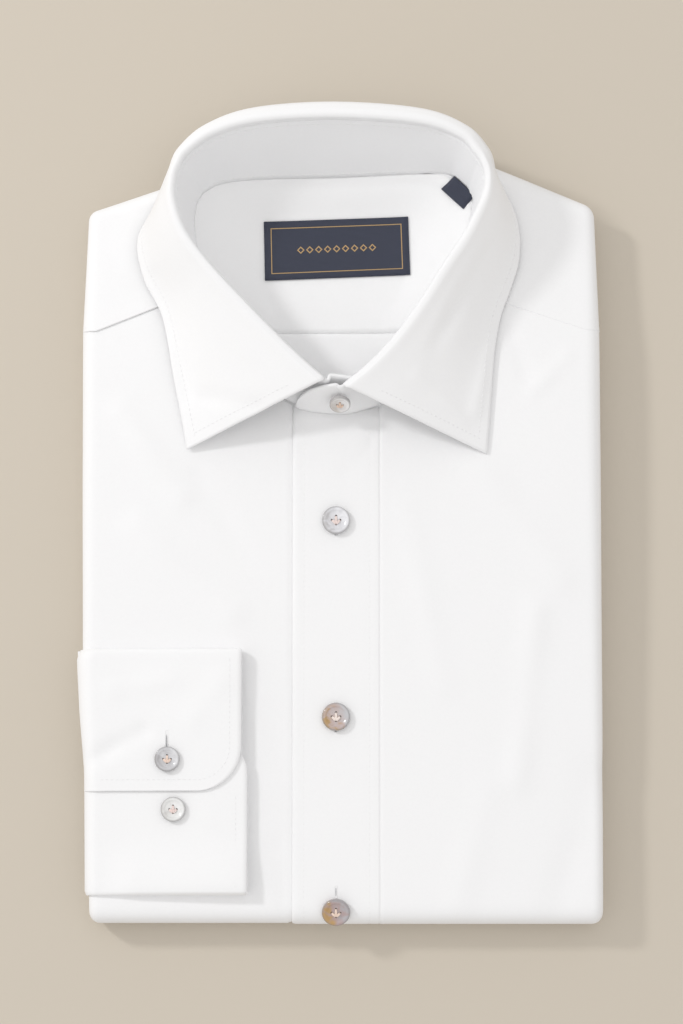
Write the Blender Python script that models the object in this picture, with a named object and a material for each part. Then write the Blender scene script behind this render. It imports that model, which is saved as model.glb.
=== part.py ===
# Folded dress shirt, lying face up with its collar standing.
# X runs across the fold, Y from the bottom fold to the collar, Z up from the table.

import math
from collections import namedtuple

import bmesh
import bpy
from mathutils import Vector

# Driving sizes, in millimetres
MM = 0.001
WALL = 1.2              # a pressed panel of cloth
STEP_WALL = 1.0         # the placket that lies on the other front
STAND_WALL = 1.8
LEAF_WALL = 1.5
GAP = 0.3               # between neighbouring pieces
CLEAR = 0.4             # between a panel and the layers under it

HEM_HEIGHT = 20.0       # thickness of the folded shirt at its bottom fold
NECK_HEIGHT = 24.0      # and at the neck
SPLIT_Z = 10.0          # where the body rests on its turned-up tail
UPPER_FLOOR = 12.1      # underside of the upper layers, above the panels tucked between
FOLD_Y = -177.5         # axis of the bottom fold
TAIL_TURN = 60.0        # how far the fronts run on along the underside
WRAP_DEG = 150.0        # how far round a side fold a panel reaches

PLACKET_LEFT = -22.2
PLACKET_RIGHT = 17.6
UNDERLAP_X = 13.0       # the under front ends here, inside the placket
FRONT_NECK_Y = 47.0

CENTRE = (-3.5, 108.0)  # middle of the neck in plan
DISH_Z = 14.0           # inside of the back, seen through the neck
YOKE_SEAM_Y = 85.5

PANEL = (0.90, 0.90, 0.90, 1.0)
SHADE = (0.84, 0.84, 0.85, 1.0)
NAVY = (0.045, 0.055, 0.085, 1.0)
PEARL = (0.62, 0.60, 0.60, 1.0)
AMBER = (0.52, 0.40, 0.26, 1.0)

# Side folds: where they lie at each height of the photo
SideRow = namedtuple("SideRow", "y left right")
SIDES = [
    SideRow(-190.0, -114.4, 118.6),
    SideRow(-120.0, -115.4, 119.2),
    SideRow(-90.0, -117.4, 119.4),
    SideRow(-60.0, -118.8, 119.5),
    SideRow(20.0, -119.8, 119.9),
    SideRow(86.0, -120.4, 120.1),
    SideRow(125.0, -119.1, 119.3),
    SideRow(150.0, -118.0, 118.4),
]

# Back panel below its yoke, as far as it shows and a little way under the fronts
BACK_ROWS = [
    SideRow(85.2, -50.0, 43.5),
    SideRow(74.0, -49.0, 42.0),
    SideRow(63.0, -45.0, 39.5),
    SideRow(54.0, -38.0, 33.0),
    SideRow(47.5, -31.0, 27.0),
]

# Corners of the shoulders and of the fold behind the neck, with their radii
CornerRow = namedtuple("CornerRow", "x y radius")
SHOULDERS = [
    CornerRow(-118.3, 142.2, 5.5),
    CornerRow(-30.0, 171.5, 45.0),
    CornerRow(50.0, 172.5, 45.0),
    CornerRow(118.3, 144.6, 7.5),
]

# Neck seam, from the front round the left, the back and the right
NeckRow = namedtuple("NeckRow", "x y")
NECK = [
    NeckRow(-5.0, 46.5),
    NeckRow(-15.0, 48.0),
    NeckRow(-27.0, 52.8),
    NeckRow(-38.6, 65.1),
    NeckRow(-50.7, 84.9),
    NeckRow(-61.0, 106.0),
    NeckRow(-68.0, 122.0),
    NeckRow(-70.1, 135.0),
    NeckRow(-69.0, 145.0),
    NeckRow(-64.5, 151.6),
    NeckRow(-56.0, 156.0),
    NeckRow(-38.0, 158.0),
    NeckRow(-3.0, 158.9),
    NeckRow(31.0, 160.0),
    NeckRow(48.0, 158.4),
    NeckRow(56.5, 153.0),
    NeckRow(60.6, 145.0),
    NeckRow(60.9, 136.0),
    NeckRow(57.6, 121.0),
    NeckRow(50.5, 104.5),
    NeckRow(42.8, 86.5),
    NeckRow(32.6, 67.5),
    NeckRow(19.5, 51.0),
    NeckRow(8.0, 46.8),
]

# The collar: each row is one section from the neck seam over the fold to the leaf's edge
CollarRow = namedtuple(
    "CollarRow", "neck_x neck_y fold_x fold_y fold_z edge_x edge_y edge_z seam_in seam_drop")
COLLAR = [
    CollarRow(-14.0, 50.3, -9.0, 56.9, 48.0, -71.2, 28.9, 25.6, 2.0, 3.8),
    CollarRow(-26.0, 54.2, -18.4, 65.1, 48.5, -72.3, 35.8, 25.8, 2.0, 3.9),
    CollarRow(-37.2, 66.2, -29.3, 75.6, 49.0, -74.5, 47.1, 26.0, 2.0, 4.0),
    CollarRow(-49.2, 85.8, -44.9, 91.7, 50.0, -77.6, 62.5, 26.2, 2.0, 4.2),
    CollarRow(-59.6, 107.0, -61.0, 109.1, 51.5, -83.0, 90.5, 26.3, 2.0, 4.4),
    CollarRow(-66.4, 122.4, -72.6, 124.6, 53.0, -91.5, 108.0, 26.3, 2.2, 4.6),
    CollarRow(-68.4, 135.0, -77.8, 139.0, 54.2, -95.0, 126.0, 26.0, 2.4, 4.8),
    CollarRow(-67.4, 144.4, -78.6, 149.6, 55.0, -89.0, 140.5, 25.6, 3.2, 5.0),
    CollarRow(-65.6, 148.0, -77.2, 157.6, 55.5, -83.4, 150.0, 25.0, 4.4, 5.1),
    CollarRow(-63.2, 150.6, -74.0, 165.0, 56.0, -78.6, 159.5, 22.0, 5.8, 5.2),
    CollarRow(-55.4, 154.4, -62.0, 175.0, 57.0, -64.8, 174.0, 16.0, 7.0, 5.3),
    CollarRow(-37.6, 156.4, -40.2, 182.1, 58.0, -43.0, 185.4, 13.8, 7.6, 5.4),
    CollarRow(-3.0, 157.3, -3.0, 184.6, 58.5, -3.0, 189.4, 13.0, 7.8, 5.5),
    CollarRow(30.8, 158.4, 36.7, 181.7, 58.0, 39.4, 185.2, 13.8, 7.6, 5.4),
    CollarRow(47.2, 156.9, 57.0, 174.4, 57.0, 60.6, 173.8, 16.0, 7.0, 5.3),
    CollarRow(55.1, 151.9, 65.2, 164.4, 56.0, 69.8, 166.0, 22.4, 5.8, 5.2),
    CollarRow(57.4, 148.4, 67.8, 158.0, 55.6, 73.4, 153.6, 25.4, 4.4, 5.1),
    CollarRow(59.1, 144.6, 68.3, 151.5, 55.0, 80.0, 142.5, 25.6, 3.2, 5.0),
    CollarRow(59.3, 136.2, 67.0, 143.5, 54.5, 83.0, 129.0, 26.0, 2.4, 4.9),
    CollarRow(57.6, 128.0, 63.6, 135.4, 54.0, 82.2, 116.0, 26.2, 2.2, 4.8),
    CollarRow(55.4, 119.6, 57.2, 123.0, 53.0, 78.4, 103.5, 26.3, 2.2, 4.6),
    CollarRow(48.9, 105.2, 46.8, 107.9, 51.5, 73.9, 91.0, 26.3, 2.0, 4.4),
    CollarRow(41.2, 87.4, 36.3, 91.3, 50.0, 71.0, 75.5, 26.2, 2.0, 4.2),
    CollarRow(31.2, 68.6, 24.8, 75.7, 49.0, 69.5, 58.5, 26.0, 2.0, 4.0),
    CollarRow(19.0, 52.8, 13.0, 63.2, 48.5, 68.2, 42.0, 25.8, 2.0, 3.9),
    CollarRow(8.4, 48.2, 2.0, 54.2, 48.0, 67.0, 26.8, 25.6, 2.0, 3.8),
]

# Ends of the stand past the leaf: the one in front, then the one behind it
BandRow = namedtuple("BandRow", "base_x base_y top_x top_y top_z")
FRONT_BAND = [
    BandRow(1.6, 46.8, -2.5, 56.0, 44.9),
    BandRow(-8.0, 47.0, -8.2, 55.3, 44.2),
    BandRow(-14.6, 48.0, -14.2, 54.2, 41.0),
    BandRow(-18.6, 49.0, -18.0, 52.8, 36.2),
    BandRow(-20.6, 50.0, -20.2, 51.4, 29.5),
]
BACK_BAND = [
    BandRow(16.8, 53.6, 16.4, 55.6, 30.0),
    BandRow(14.6, 52.6, 13.6, 57.6, 37.0),
    BandRow(8.8, 51.4, 7.6, 59.3, 41.5),
    BandRow(-1.0, 50.7, -1.4, 60.4, 43.6),
    BandRow(-8.0, 50.3, -5.6, 60.4, 44.2),
]

# The cuff, seen from above
CUFF_END_X = -45.8      # wrist end of the upper layer
CUFF_UNDER_X = -43.0    # wrist end of the under layer
CUFF_TOP_Y = -63.2
CUFF_LAP_Y = -127.8     # lower edge of the upper layer
CUFF_BOTTOM_Y = -174.8
CUFF_SEAM_X = -108.5    # where the sleeve takes over, just inside the side fold
CUFF_CORNER = 20.0
CUFF_WALL = 1.2
CUFF_TUCK_Y = -112.0    # the under layer ends here, inside the lap
CUFF_ROLL_TOP = 2.4     # how far each soft roll of the cuff stands out
CUFF_ROLL_LOW = 1.9
UNDER_LIFT = 2.0 * (GAP + CUFF_WALL)
OVER_LIFT = 3.0 * (GAP + CUFF_WALL)

# Pressed end of the sleeve: its wall round the side fold, high up and low down
SLEEVE_WRAP_DEG = 128.0
SLEEVE_SIDE_TOP = 2.3
SLEEVE_SIDE_LOW = 1.4

# Pressed fold of the collar: its roll, and how its ridge stands in from the outer face behind
ROLL_IN = 2.6
RIDGE_MOST = 5.0
RIDGE_DROP = 3.0
LEAF_SWELL = 1.6

# Hidden layers: each pack's height and how far it lies inside the panels round it
PackRow = namedtuple("PackRow", "low high inset")
LOWER_PACK = PackRow(0.0, SPLIT_Z - GAP, 0.4)
TUCKED_PACK = PackRow(3.0, 8.2, 3.4)
UPPER_INSET = 1.9
UPPER_DROP = 3.1        # top of the upper pack, below the yoke's face
WAIST_INSET = 9.0       # the packs join this far inside their folds
CORE_CORNER = 12.0
CORE_LOW_Y = -180.0
CORE_SIDE_Y = [-140.0, -116.9, -116.1, -90.0, -60.0, -30.0, 10.0, 45.0, 70.0]
TUCK_END_Y = FOLD_Y + TAIL_TURN + 1.0

# Hollow under the neck: how far out its rim lies in front and behind, and its depth
HollowRow = namedtuple("HollowRow", "front back drop")
HOLLOW = [
    HollowRow(1.26, 1.02, 0.0),
    HollowRow(1.22, 0.80, 1.3),
    HollowRow(1.18, 0.50, 1.3),
]

# Buttons: middle, outer size and colour
BUTTON_THICK = 2.4
FRONT_BUTTON = 12.8
BUTTON_X = -2.5
FOLD_BUTTON_TILT = 24.0

# Woven label and size tab, by their corners: sewn edge first, then the free edge
CornerSet = namedtuple("CornerSet", "left right free_left free_right")
LABEL = CornerSet((-36.3, 138.1), (31.1, 140.5), (-35.7, 110.4), (32.0, 113.2))
SIZE_TAB = CornerSet((51.4, 152.6), (57.6, 143.8), (46.0, 148.4), (52.2, 139.6))


def smooth(low, high, value):
    """Eases from 0 at low to 1 at high."""
    t = min(1.0, max(0.0, (value - low) / (high - low)))
    return t * t * (3.0 - 2.0 * t)


def mix(a, b, t):
    return a + (b - a) * t


def spline(points, t):
    """Point at t, from 0 to 1, on the smooth curve through evenly spaced points."""
    last = len(points) - 1
    place = min(max(t, 0.0), 1.0) * last
    i = min(int(place), last - 1)
    u = place - i
    p1 = Vector(points[i])
    p2 = Vector(points[i + 1])
    p0 = Vector(points[i - 1]) if i > 0 else p1 * 2.0 - p2
    p3 = Vector(points[i + 2]) if i + 2 <= last else p2 * 2.0 - p1
    a = p1 * 2.0
    b = p2 - p0
    c = p0 * 2.0 - p1 * 5.0 + p2 * 4.0 - p3
    d = p1 * 3.0 - p0 - p2 * 3.0 + p3
    return (a + b * u + c * u * u + d * u * u * u) * 0.5


def body_top(x, y):
    """Height of the shirt's upper face."""
    rise = smooth(-170.0, 50.0, y)
    droop = 3.4 * smooth(70.0, 120.0, abs(x)) * smooth(60.0, 140.0, y)
    return HEM_HEIGHT + (NECK_HEIGHT - HEM_HEIGHT) * rise - droop


def side_x(y, sign):
    """Place of the left (sign -1) or right (sign 1) side fold at y."""
    for low, high in zip(SIDES, SIDES[1:]):
        if y <= high.y:
            t = max(0.0, (y - low.y) / (high.y - low.y))
            if sign < 0:
                return mix(low.left, high.left, t)
            return mix(low.right, high.right, t)
    return SIDES[-1].left if sign < 0 else SIDES[-1].right


def fold_radius(top):
    """Radius of the rounded side fold under a face of this height."""
    return (top - SPLIT_Z - 0.4) / 2.0


def neck_point(angle):
    """Point of the neck seam on the ray at this angle round the neck's middle."""
    count = len(NECK)
    ray = Vector((math.cos(angle), math.sin(angle)))
    across = Vector((-ray.y, ray.x))
    middle = Vector(CENTRE)
    for i in range(count):
        a = Vector(NECK[i]) - middle
        b = Vector(NECK[(i + 1) % count]) - middle
        side_a = a.dot(across)
        side_b = b.dot(across)
        if side_a >= 0.0 > side_b or side_a < 0.0 <= side_b:
            hit = a.lerp(b, side_a / (side_a - side_b))
            if hit.dot(ray) > 0.0:
                return middle + hit
    return middle


def angle_of(x, y):
    return math.atan2(y - CENTRE[1], x - CENTRE[0])


def neck_share(x, y):
    """How far out a point lies: 0 at the neck's middle, 1 on its seam."""
    away = Vector((x - CENTRE[0], y - CENTRE[1]))
    if away.length < 0.001:
        return 0.0
    rim = neck_point(angle_of(x, y)) - Vector(CENTRE)
    return away.length / rim.length


def dish_top(x, y):
    """Inside of the back: a shallow dish that rises to the neck seam behind and beside."""
    rise = smooth(0.52, 1.0, neck_share(x, y)) * smooth(62.0, 112.0, y)
    under_yoke = NECK_HEIGHT - WALL - GAP
    return mix(DISH_Z, under_yoke, rise)


def new_material(name, colour, roughness):
    material = bpy.data.materials.new(name)
    material.use_nodes = True
    shader = material.node_tree.nodes["Principled BSDF"]
    shader.inputs["Base Color"].default_value = colour
    shader.inputs["Roughness"].default_value = roughness
    shader.inputs["Metallic"].default_value = 0.0
    return material


def new_object(name, bm, colour=PANEL, roughness=0.85, sharp=40.0):
    """Turns a finished bmesh in millimetres into a named object in metres."""
    bmesh.ops.scale(bm, vec=(MM, MM, MM), verts=bm.verts)
    bmesh.ops.recalc_face_normals(bm, faces=bm.faces)
    mesh = bpy.data.meshes.new(name)
    bm.to_mesh(mesh)
    bm.free()
    mesh.shade_smooth()
    mesh.set_sharp_from_angle(angle=math.radians(sharp))
    mesh.materials.append(new_material(name, colour, roughness))
    item = bpy.data.objects.new(name, mesh)
    bpy.context.collection.objects.link(item)
    return item


def grid_normals(grid):
    """Unit normal at each point of a grid, from its neighbours."""
    rows = len(grid)
    cols = len(grid[0])
    normals = []
    for r in range(rows):
        line = []
        for c in range(cols):
            down = grid[min(r + 1, rows - 1)][c] - grid[max(r - 1, 0)][c]
            over = grid[r][min(c + 1, cols - 1)] - grid[r][max(c - 1, 0)]
            line.append(over.cross(down).normalized())
        normals.append(line)
    return normals


def wall_mesh(grid, wall, outward=1.0, level=False):
    """Closed wall behind a grid of outer points; level keeps its thickness horizontal."""
    rows = len(grid)
    cols = len(grid[0])
    normals = grid_normals(grid)
    if level:
        normals = [[Vector((n.x, n.y, 0.0)).normalized() for n in line] for line in normals]
    bm = bmesh.new()
    outer = [[bm.verts.new(p) for p in line] for line in grid]
    inner = []
    for r in range(rows):
        line = []
        for c in range(cols):
            depth = wall[r][c] if isinstance(wall, list) else wall
            line.append(bm.verts.new(grid[r][c] - normals[r][c] * depth * outward))
        inner.append(line)
    for r in range(rows - 1):
        for c in range(cols - 1):
            bm.faces.new((outer[r][c], outer[r + 1][c], outer[r + 1][c + 1], outer[r][c + 1]))
            bm.faces.new((inner[r][c], inner[r][c + 1], inner[r + 1][c + 1], inner[r + 1][c]))
    for c in range(cols - 1):
        bm.faces.new((outer[0][c], outer[0][c + 1], inner[0][c + 1], inner[0][c]))
        bm.faces.new((outer[-1][c + 1], outer[-1][c], inner[-1][c], inner[-1][c + 1]))
    for r in range(rows - 1):
        bm.faces.new((outer[r + 1][0], outer[r][0], inner[r][0], inner[r + 1][0]))
        bm.faces.new((outer[r][-1], outer[r + 1][-1], inner[r + 1][-1], inner[r][-1]))
    return bm


def under_placket(x):
    """How much of the way a front has sunk under the placket: 0 outside it, 1 inside."""
    return smooth(PLACKET_LEFT - 8.0, PLACKET_LEFT - 1.0, x)


def path_row(y_in, y_out):
    return {"kind": "top", "y_in": y_in, "y_out": y_out}


def lower_rows(bends, turn=TAIL_TURN):
    """Rows round the bottom fold and along the underside."""
    rows = []
    for i in range(1, bends + 1):
        rows.append({"kind": "bend", "angle": math.pi * i / bends})
    rows.append({"kind": "under", "run": turn * 0.35})
    rows.append({"kind": "under", "run": turn})
    return rows


def path_point(row, x, share, sink, depth):
    """Point of a panel: share runs from its inner edge to its side fold."""
    if row["kind"] == "top":
        y = mix(row["y_in"], row["y_out"], share)
        return Vector((x, y, body_top(x, y) - sink - depth))
    half = HEM_HEIGHT / 2.0
    if row["kind"] == "bend":
        reach = half - sink - depth
        angle = row["angle"]
        return Vector((x, FOLD_Y - reach * math.sin(angle), half + reach * math.cos(angle)))
    return Vector((x, FOLD_Y + row["run"], sink + depth))


def turned(row):
    """How far a row has gone round the bottom fold, 0 to 1."""
    if row["kind"] == "top":
        return 0.0
    if row["kind"] == "bend":
        return row["angle"] / math.pi
    return 1.0


def row_y(row):
    if row["kind"] == "top":
        return row["y_out"]
    return FOLD_Y


def panel_grid(rows, inner_x, sign, shares, arc_cols, sink_at):
    """Rows from the inner edge over the flat face and round the side fold."""
    grid = []
    for row, x_in in zip(rows, inner_x):
        y = row_y(row)
        side = side_x(y, sign)
        sink_side = sink_at(side, row)
        if row["kind"] == "top":
            radius = fold_radius(body_top(side, y) - sink_side)
        else:
            radius = (HEM_HEIGHT / 2.0 - 0.2 - sink_side * 0.5) / 2.0
        start = side - sign * radius
        line = []
        for share in shares:
            x = mix(x_in, start, share)
            line.append(path_point(row, x, share, sink_at(x, row), 0.0))
        for c in range(1, arc_cols + 1):
            turn = math.radians(WRAP_DEG) * c / arc_cols
            x = start + sign * radius * math.sin(turn)
            depth = radius * (1.0 - math.cos(turn))
            line.append(path_point(row, x, 1.0, sink_side, depth))
        grid.append(line)
    return grid


def make_fronts():
    lap = STEP_WALL + CLEAR
    shares_left = [0.0, 0.14, 0.283, 0.345, 0.5, 0.67, 0.84, 1.0]
    shares_right = [0.0, 0.16, 0.33, 0.5, 0.67, 0.84, 1.0]

    def right_sink(x, row):
        under = under_placket(x)
        open_part = lap * (1.0 - turned(row))
        return mix(open_part, lap, under)

    def left_sink(x, row):
        return 0.0

    neck_left = [(-61.6, 105.6), (-56.6, 95.5), (-50.9, 84.6), (-44.6, 74.5), (-38.3, 64.8),
                 (-27.8, 52.6), (-12.0, FRONT_NECK_Y), (UNDERLAP_X, FRONT_NECK_Y)]
    out_left = [84.6, 78.0, 70.0, 61.0, 52.0, 42.0, 32.0, 22.0]
    rows = [path_row(p[1], out) for p, out in zip(neck_left, out_left)]
    inner = [p[0] for p in neck_left]
    for y_in, y_out in [(22.0, 0.0), (-12.0, -26.0), (-50.0, -56.0), (-90.0, -90.0),
                        (-120.0, -120.0), (-160.0, -160.0), (FOLD_Y, FOLD_Y)]:
        rows.append(path_row(y_in, y_out))
        inner.append(UNDERLAP_X)
    for row in lower_rows(7):
        rows.append(row)
        inner.append(UNDERLAP_X)
    grid = panel_grid(rows, inner, -1.0, shares_left, 6, right_sink)
    new_object("right_front", wall_mesh(grid, WALL, 1.0))

    start = PLACKET_RIGHT + GAP
    neck_right = [(51.4, 105.6), (47.2, 95.5), (42.2, 84.6), (37.0, 74.5), (31.4, 64.8),
                  (24.4, 55.6), (start, 48.9)]
    out_right = [85.1, 78.0, 70.0, 61.0, 52.0, 42.0, 32.0]
    rows = [path_row(p[1], out) for p, out in zip(neck_right, out_right)]
    inner = [p[0] for p in neck_right]
    for y_in, y_out in [(22.0, 10.0), (-12.0, -18.0), (-50.0, -52.0), (-90.0, -90.0),
                        (-120.0, -120.0), (-160.0, -160.0), (FOLD_Y, FOLD_Y)]:
        rows.append(path_row(y_in, y_out))
        inner.append(start)
    for row in lower_rows(7):
        rows.append(row)
        inner.append(start)
    grid = panel_grid(rows, inner, 1.0, shares_right, 6, left_sink)
    new_object("left_front", wall_mesh(grid, WALL, -1.0))


def make_placket():
    columns = [PLACKET_LEFT, -12.0, -2.0, 8.0, PLACKET_RIGHT]
    neck_y = [49.4, 46.6, 46.0, 46.6, 48.9]
    rows = [dict(path_row(0.0, 0.0), neck=True)]
    rows += [path_row(y, y) for y in (22.0, -12.0, -50.0, -90.0, -120.0, -160.0, FOLD_Y)]
    rows += lower_rows(7)
    grid = []
    for row in rows:
        line = []
        for x, top_y in zip(columns, neck_y):
            place = path_row(top_y, top_y) if row.get("neck") else row
            line.append(path_point(place, x, 0.0, 0.0, 0.0))
        grid.append(line)
    new_object("front_placket", wall_mesh(grid, STEP_WALL, -1.0))


def shoulder_outline(per_arc, per_run):
    """Outer edge from the left seam over the shoulders to the right seam, with inward normals."""
    start = Vector((side_x(85.3, -1.0), 85.3))
    end = Vector((side_x(85.7, 1.0), 85.7))
    corners = [Vector((row.x, row.y)) for row in SHOULDERS]
    line = [start] + corners + [end]
    points = []

    def add(point, direction):
        points.append((point, Vector((direction.y, -direction.x))))

    last = start
    for i in range(1, len(line) - 1):
        into = (line[i] - line[i - 1]).normalized()
        out = (line[i + 1] - line[i]).normalized()
        turn = into.angle(out)
        radius = SHOULDERS[i - 1].radius
        cut = radius * math.tan(turn / 2.0)
        arc_start = line[i] - into * cut
        middle = arc_start + Vector((into.y, -into.x)) * radius
        for k in range(per_run[i - 1]):
            add(last.lerp(arc_start, k / per_run[i - 1]), into)
        for k in range(per_arc[i - 1] + 1):
            swing = -turn * k / per_arc[i - 1]
            spoke = arc_start - middle
            c = math.cos(swing)
            s = math.sin(swing)
            spun = Vector((spoke.x * c - spoke.y * s, spoke.x * s + spoke.y * c))
            heading = Vector((into.x * c - into.y * s, into.x * s + into.y * c))
            add(middle + spun, heading)
        last = line[i] + out * cut
    out = (end - last).normalized()
    for k in range(1, per_run[-1] + 1):
        add(last.lerp(end, k / per_run[-1]), out)
    return points


def yoke_top(x, y):
    """Upper face of the yoke: it dips a little from the neck to the fold behind it."""
    return body_top(x, y) - 1.5 * smooth(158.0, 173.0, y)


def make_yoke():
    outline = shoulder_outline([3, 3, 3, 4], [3, 4, 2, 4, 3])
    first = angle_of(*outline[0][0])
    last = angle_of(*outline[-1][0])
    if first < 0.0:
        first += 2.0 * math.pi
    neck_first = angle_of(-61.4, 106.2)
    if neck_first < 0.0:
        neck_first += 2.0 * math.pi
    neck_last = angle_of(51.5, 106.2)
    flat_cols = 3
    arc_cols = 5
    grid = []
    for point, normal in outline:
        angle = angle_of(*point)
        if angle < -1.0:
            angle += 2.0 * math.pi
        share = (first - angle) / (first - last)
        rim = neck_point(mix(neck_first, neck_last, share))
        top = yoke_top(point.x, point.y)
        radius = fold_radius(top)
        start = point + normal * radius
        line = []
        for c in range(flat_cols + 1):
            place = rim.lerp(start, c / flat_cols)
            line.append(Vector((place.x, place.y, yoke_top(place.x, place.y))))
        for c in range(1, arc_cols + 1):
            turn = math.radians(WRAP_DEG) * c / arc_cols
            place = start - normal * radius * math.sin(turn)
            line.append(Vector((place.x, place.y, top - radius * (1.0 - math.cos(turn)))))
        grid.append(line)
    new_object("yoke", wall_mesh(grid, WALL, -1.0))


def make_inner_back():
    """Inner yoke and back panel, seen through the neck."""
    grid = []
    for i in range(8):
        share = i / 7.0
        line = []
        for j in range(13):
            across = j / 12.0
            left = neck_point(math.radians(mix(203.0, 133.0, share ** 0.85)))
            right = neck_point(math.radians(mix(-23.0, 47.0, share ** 0.85)))
            chord = left.lerp(right, across)
            bow = 4.0 * across * (1.0 - across)
            back = neck_point(math.radians(90.0)).y
            y = chord.y + bow * (mix(YOKE_SEAM_Y, back, share) - mix(left.y, right.y, 0.5))
            x = chord.x
            if i == 0:
                y = YOKE_SEAM_Y
            if neck_share(x, y) > 1.0:
                x, y = neck_point(angle_of(x, y))
            line.append(Vector((x, y, dish_top(x, y))))
        grid.append(line)
    new_object("inner_yoke", wall_mesh(grid, WALL, 1.0), SHADE)

    grid = []
    for row in BACK_ROWS:
        line = []
        for j in range(7):
            x = mix(row.left, row.right, j / 6.0)
            line.append(Vector((x, row.y, dish_top(x, row.y))))
        grid.append(line)
    new_object("back_panel", wall_mesh(grid, WALL, -1.0), SHADE)


def core_loop():
    """Outline of the hidden layers from the left round the shoulders, with inward normals."""
    right = []
    left = []
    for sign, line in ((-1.0, left), (1.0, right)):
        for k in range(5):
            swing = math.radians(90.0 * k / 4.0)
            x = side_x(CORE_LOW_Y, sign) - sign * (CORE_CORNER + 1.0)
            line.append((Vector((x + sign * CORE_CORNER * math.sin(swing),
                                 CORE_LOW_Y + CORE_CORNER * (1.0 - math.cos(swing)))),
                         Vector((-sign * math.sin(swing), math.cos(swing)))))
        for y in CORE_SIDE_Y:
            line.append((Vector((side_x(y, sign), y)), Vector((-sign, 0.0))))
    outline = shoulder_outline([3, 3, 3, 4], [3, 4, 2, 4, 3])
    return left + outline + right[::-1]


def hollow_edge(spot, row):
    """Point of the hollow's rim on the same ray as spot."""
    angle = angle_of(spot.x, spot.y)
    middle = Vector(CENTRE)
    ahead = smooth(-0.25, 0.45, -math.sin(angle))
    return middle + (neck_point(angle) - middle) * mix(row.back, row.front, ahead)


def lower_pack(y):
    return TUCKED_PACK if y < TUCK_END_Y else LOWER_PACK


def make_core():
    """The hidden layers: two rounded packs joined inside, with a hollow under the neck."""
    loop = core_loop()
    bm = bmesh.new()
    rings = []

    def ring(points):
        rings.append([bm.verts.new(p) for p in points])

    steps = 4
    for k in range(steps + 1):
        swing = math.pi * k / steps
        points = []
        for p, n in loop:
            pack = lower_pack(p.y)
            radius = (pack.high - pack.low) / 2.0
            spot = p + n * (pack.inset + radius - radius * math.sin(swing))
            points.append(Vector((spot.x, spot.y, pack.low + radius * (1.0 - math.cos(swing)))))
        ring(points)
    waist = [p + n * WAIST_INSET for p, n in loop]
    ring([Vector((w.x, w.y, lower_pack(p.y).high)) for w, (p, n) in zip(waist, loop)])
    ring([Vector((w.x, w.y, UPPER_FLOOR)) for w in waist])
    for k in range(steps + 1):
        swing = math.pi * k / steps
        points = []
        for p, n in loop:
            radius = (yoke_top(p.x, p.y) - UPPER_DROP - UPPER_FLOOR) / 2.0
            spot = p + n * (UPPER_INSET + radius - radius * math.sin(swing))
            z = UPPER_FLOOR + radius * (1.0 - math.cos(swing))
            points.append(Vector((spot.x, spot.y, z)))
        ring(points)
    shelf = [v.co.copy() for v in rings[-1]]

    for share in (0.35, 0.65, 0.85):
        points = []
        for spot in shelf:
            place = Vector((spot.x, spot.y)).lerp(hollow_edge(spot, HOLLOW[0]), share)
            points.append(Vector((place.x, place.y, yoke_top(place.x, place.y) - UPPER_DROP)))
        ring(points)
    for row in HOLLOW:
        points = []
        for spot in shelf:
            edge = hollow_edge(spot, row)
            if row.drop:
                z = dish_top(edge.x, edge.y) - WALL - CLEAR - row.drop
            else:
                z = min(yoke_top(edge.x, edge.y), NECK_HEIGHT) - UPPER_DROP
            points.append(Vector((edge.x, edge.y, z)))
        ring(points)

    count = len(loop)
    for a, b in zip(rings, rings[1:]):
        for i in range(count):
            j = (i + 1) % count
            bm.faces.new((a[i], b[i], b[j], a[j]))
    bottom = rings[0]
    for i in range(count // 2 - 1):
        j = count - 1 - i
        bm.faces.new((bottom[i], bottom[j], bottom[j - 1], bottom[i + 1]))
    if count % 2 == 1:
        m = count // 2
        bm.faces.new((bottom[m - 1], bottom[m + 1], bottom[m]))
    cap = bm.faces.new(rings[-1])
    bmesh.ops.triangulate(bm, faces=[cap])
    new_object("folded_layers", bm, SHADE)


def collar_frame():
    """Inward direction in plan at each collar section, from its neighbours on the fold."""
    inward = []
    last = len(COLLAR) - 1
    for i in range(last + 1):
        a = COLLAR[max(i - 1, 0)]
        b = COLLAR[min(i + 1, last)]
        along = Vector((b.fold_x - a.fold_x, b.fold_y - a.fold_y)).normalized()
        inward.append(Vector((along.y, -along.x)))
    return inward


def seam_point(row, inward):
    """Inner face of the seam between stand and leaf."""
    return Vector((row.fold_x + inward.x * row.seam_in,
                   row.fold_y + inward.y * row.seam_in,
                   row.fold_z - row.seam_drop))


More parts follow.
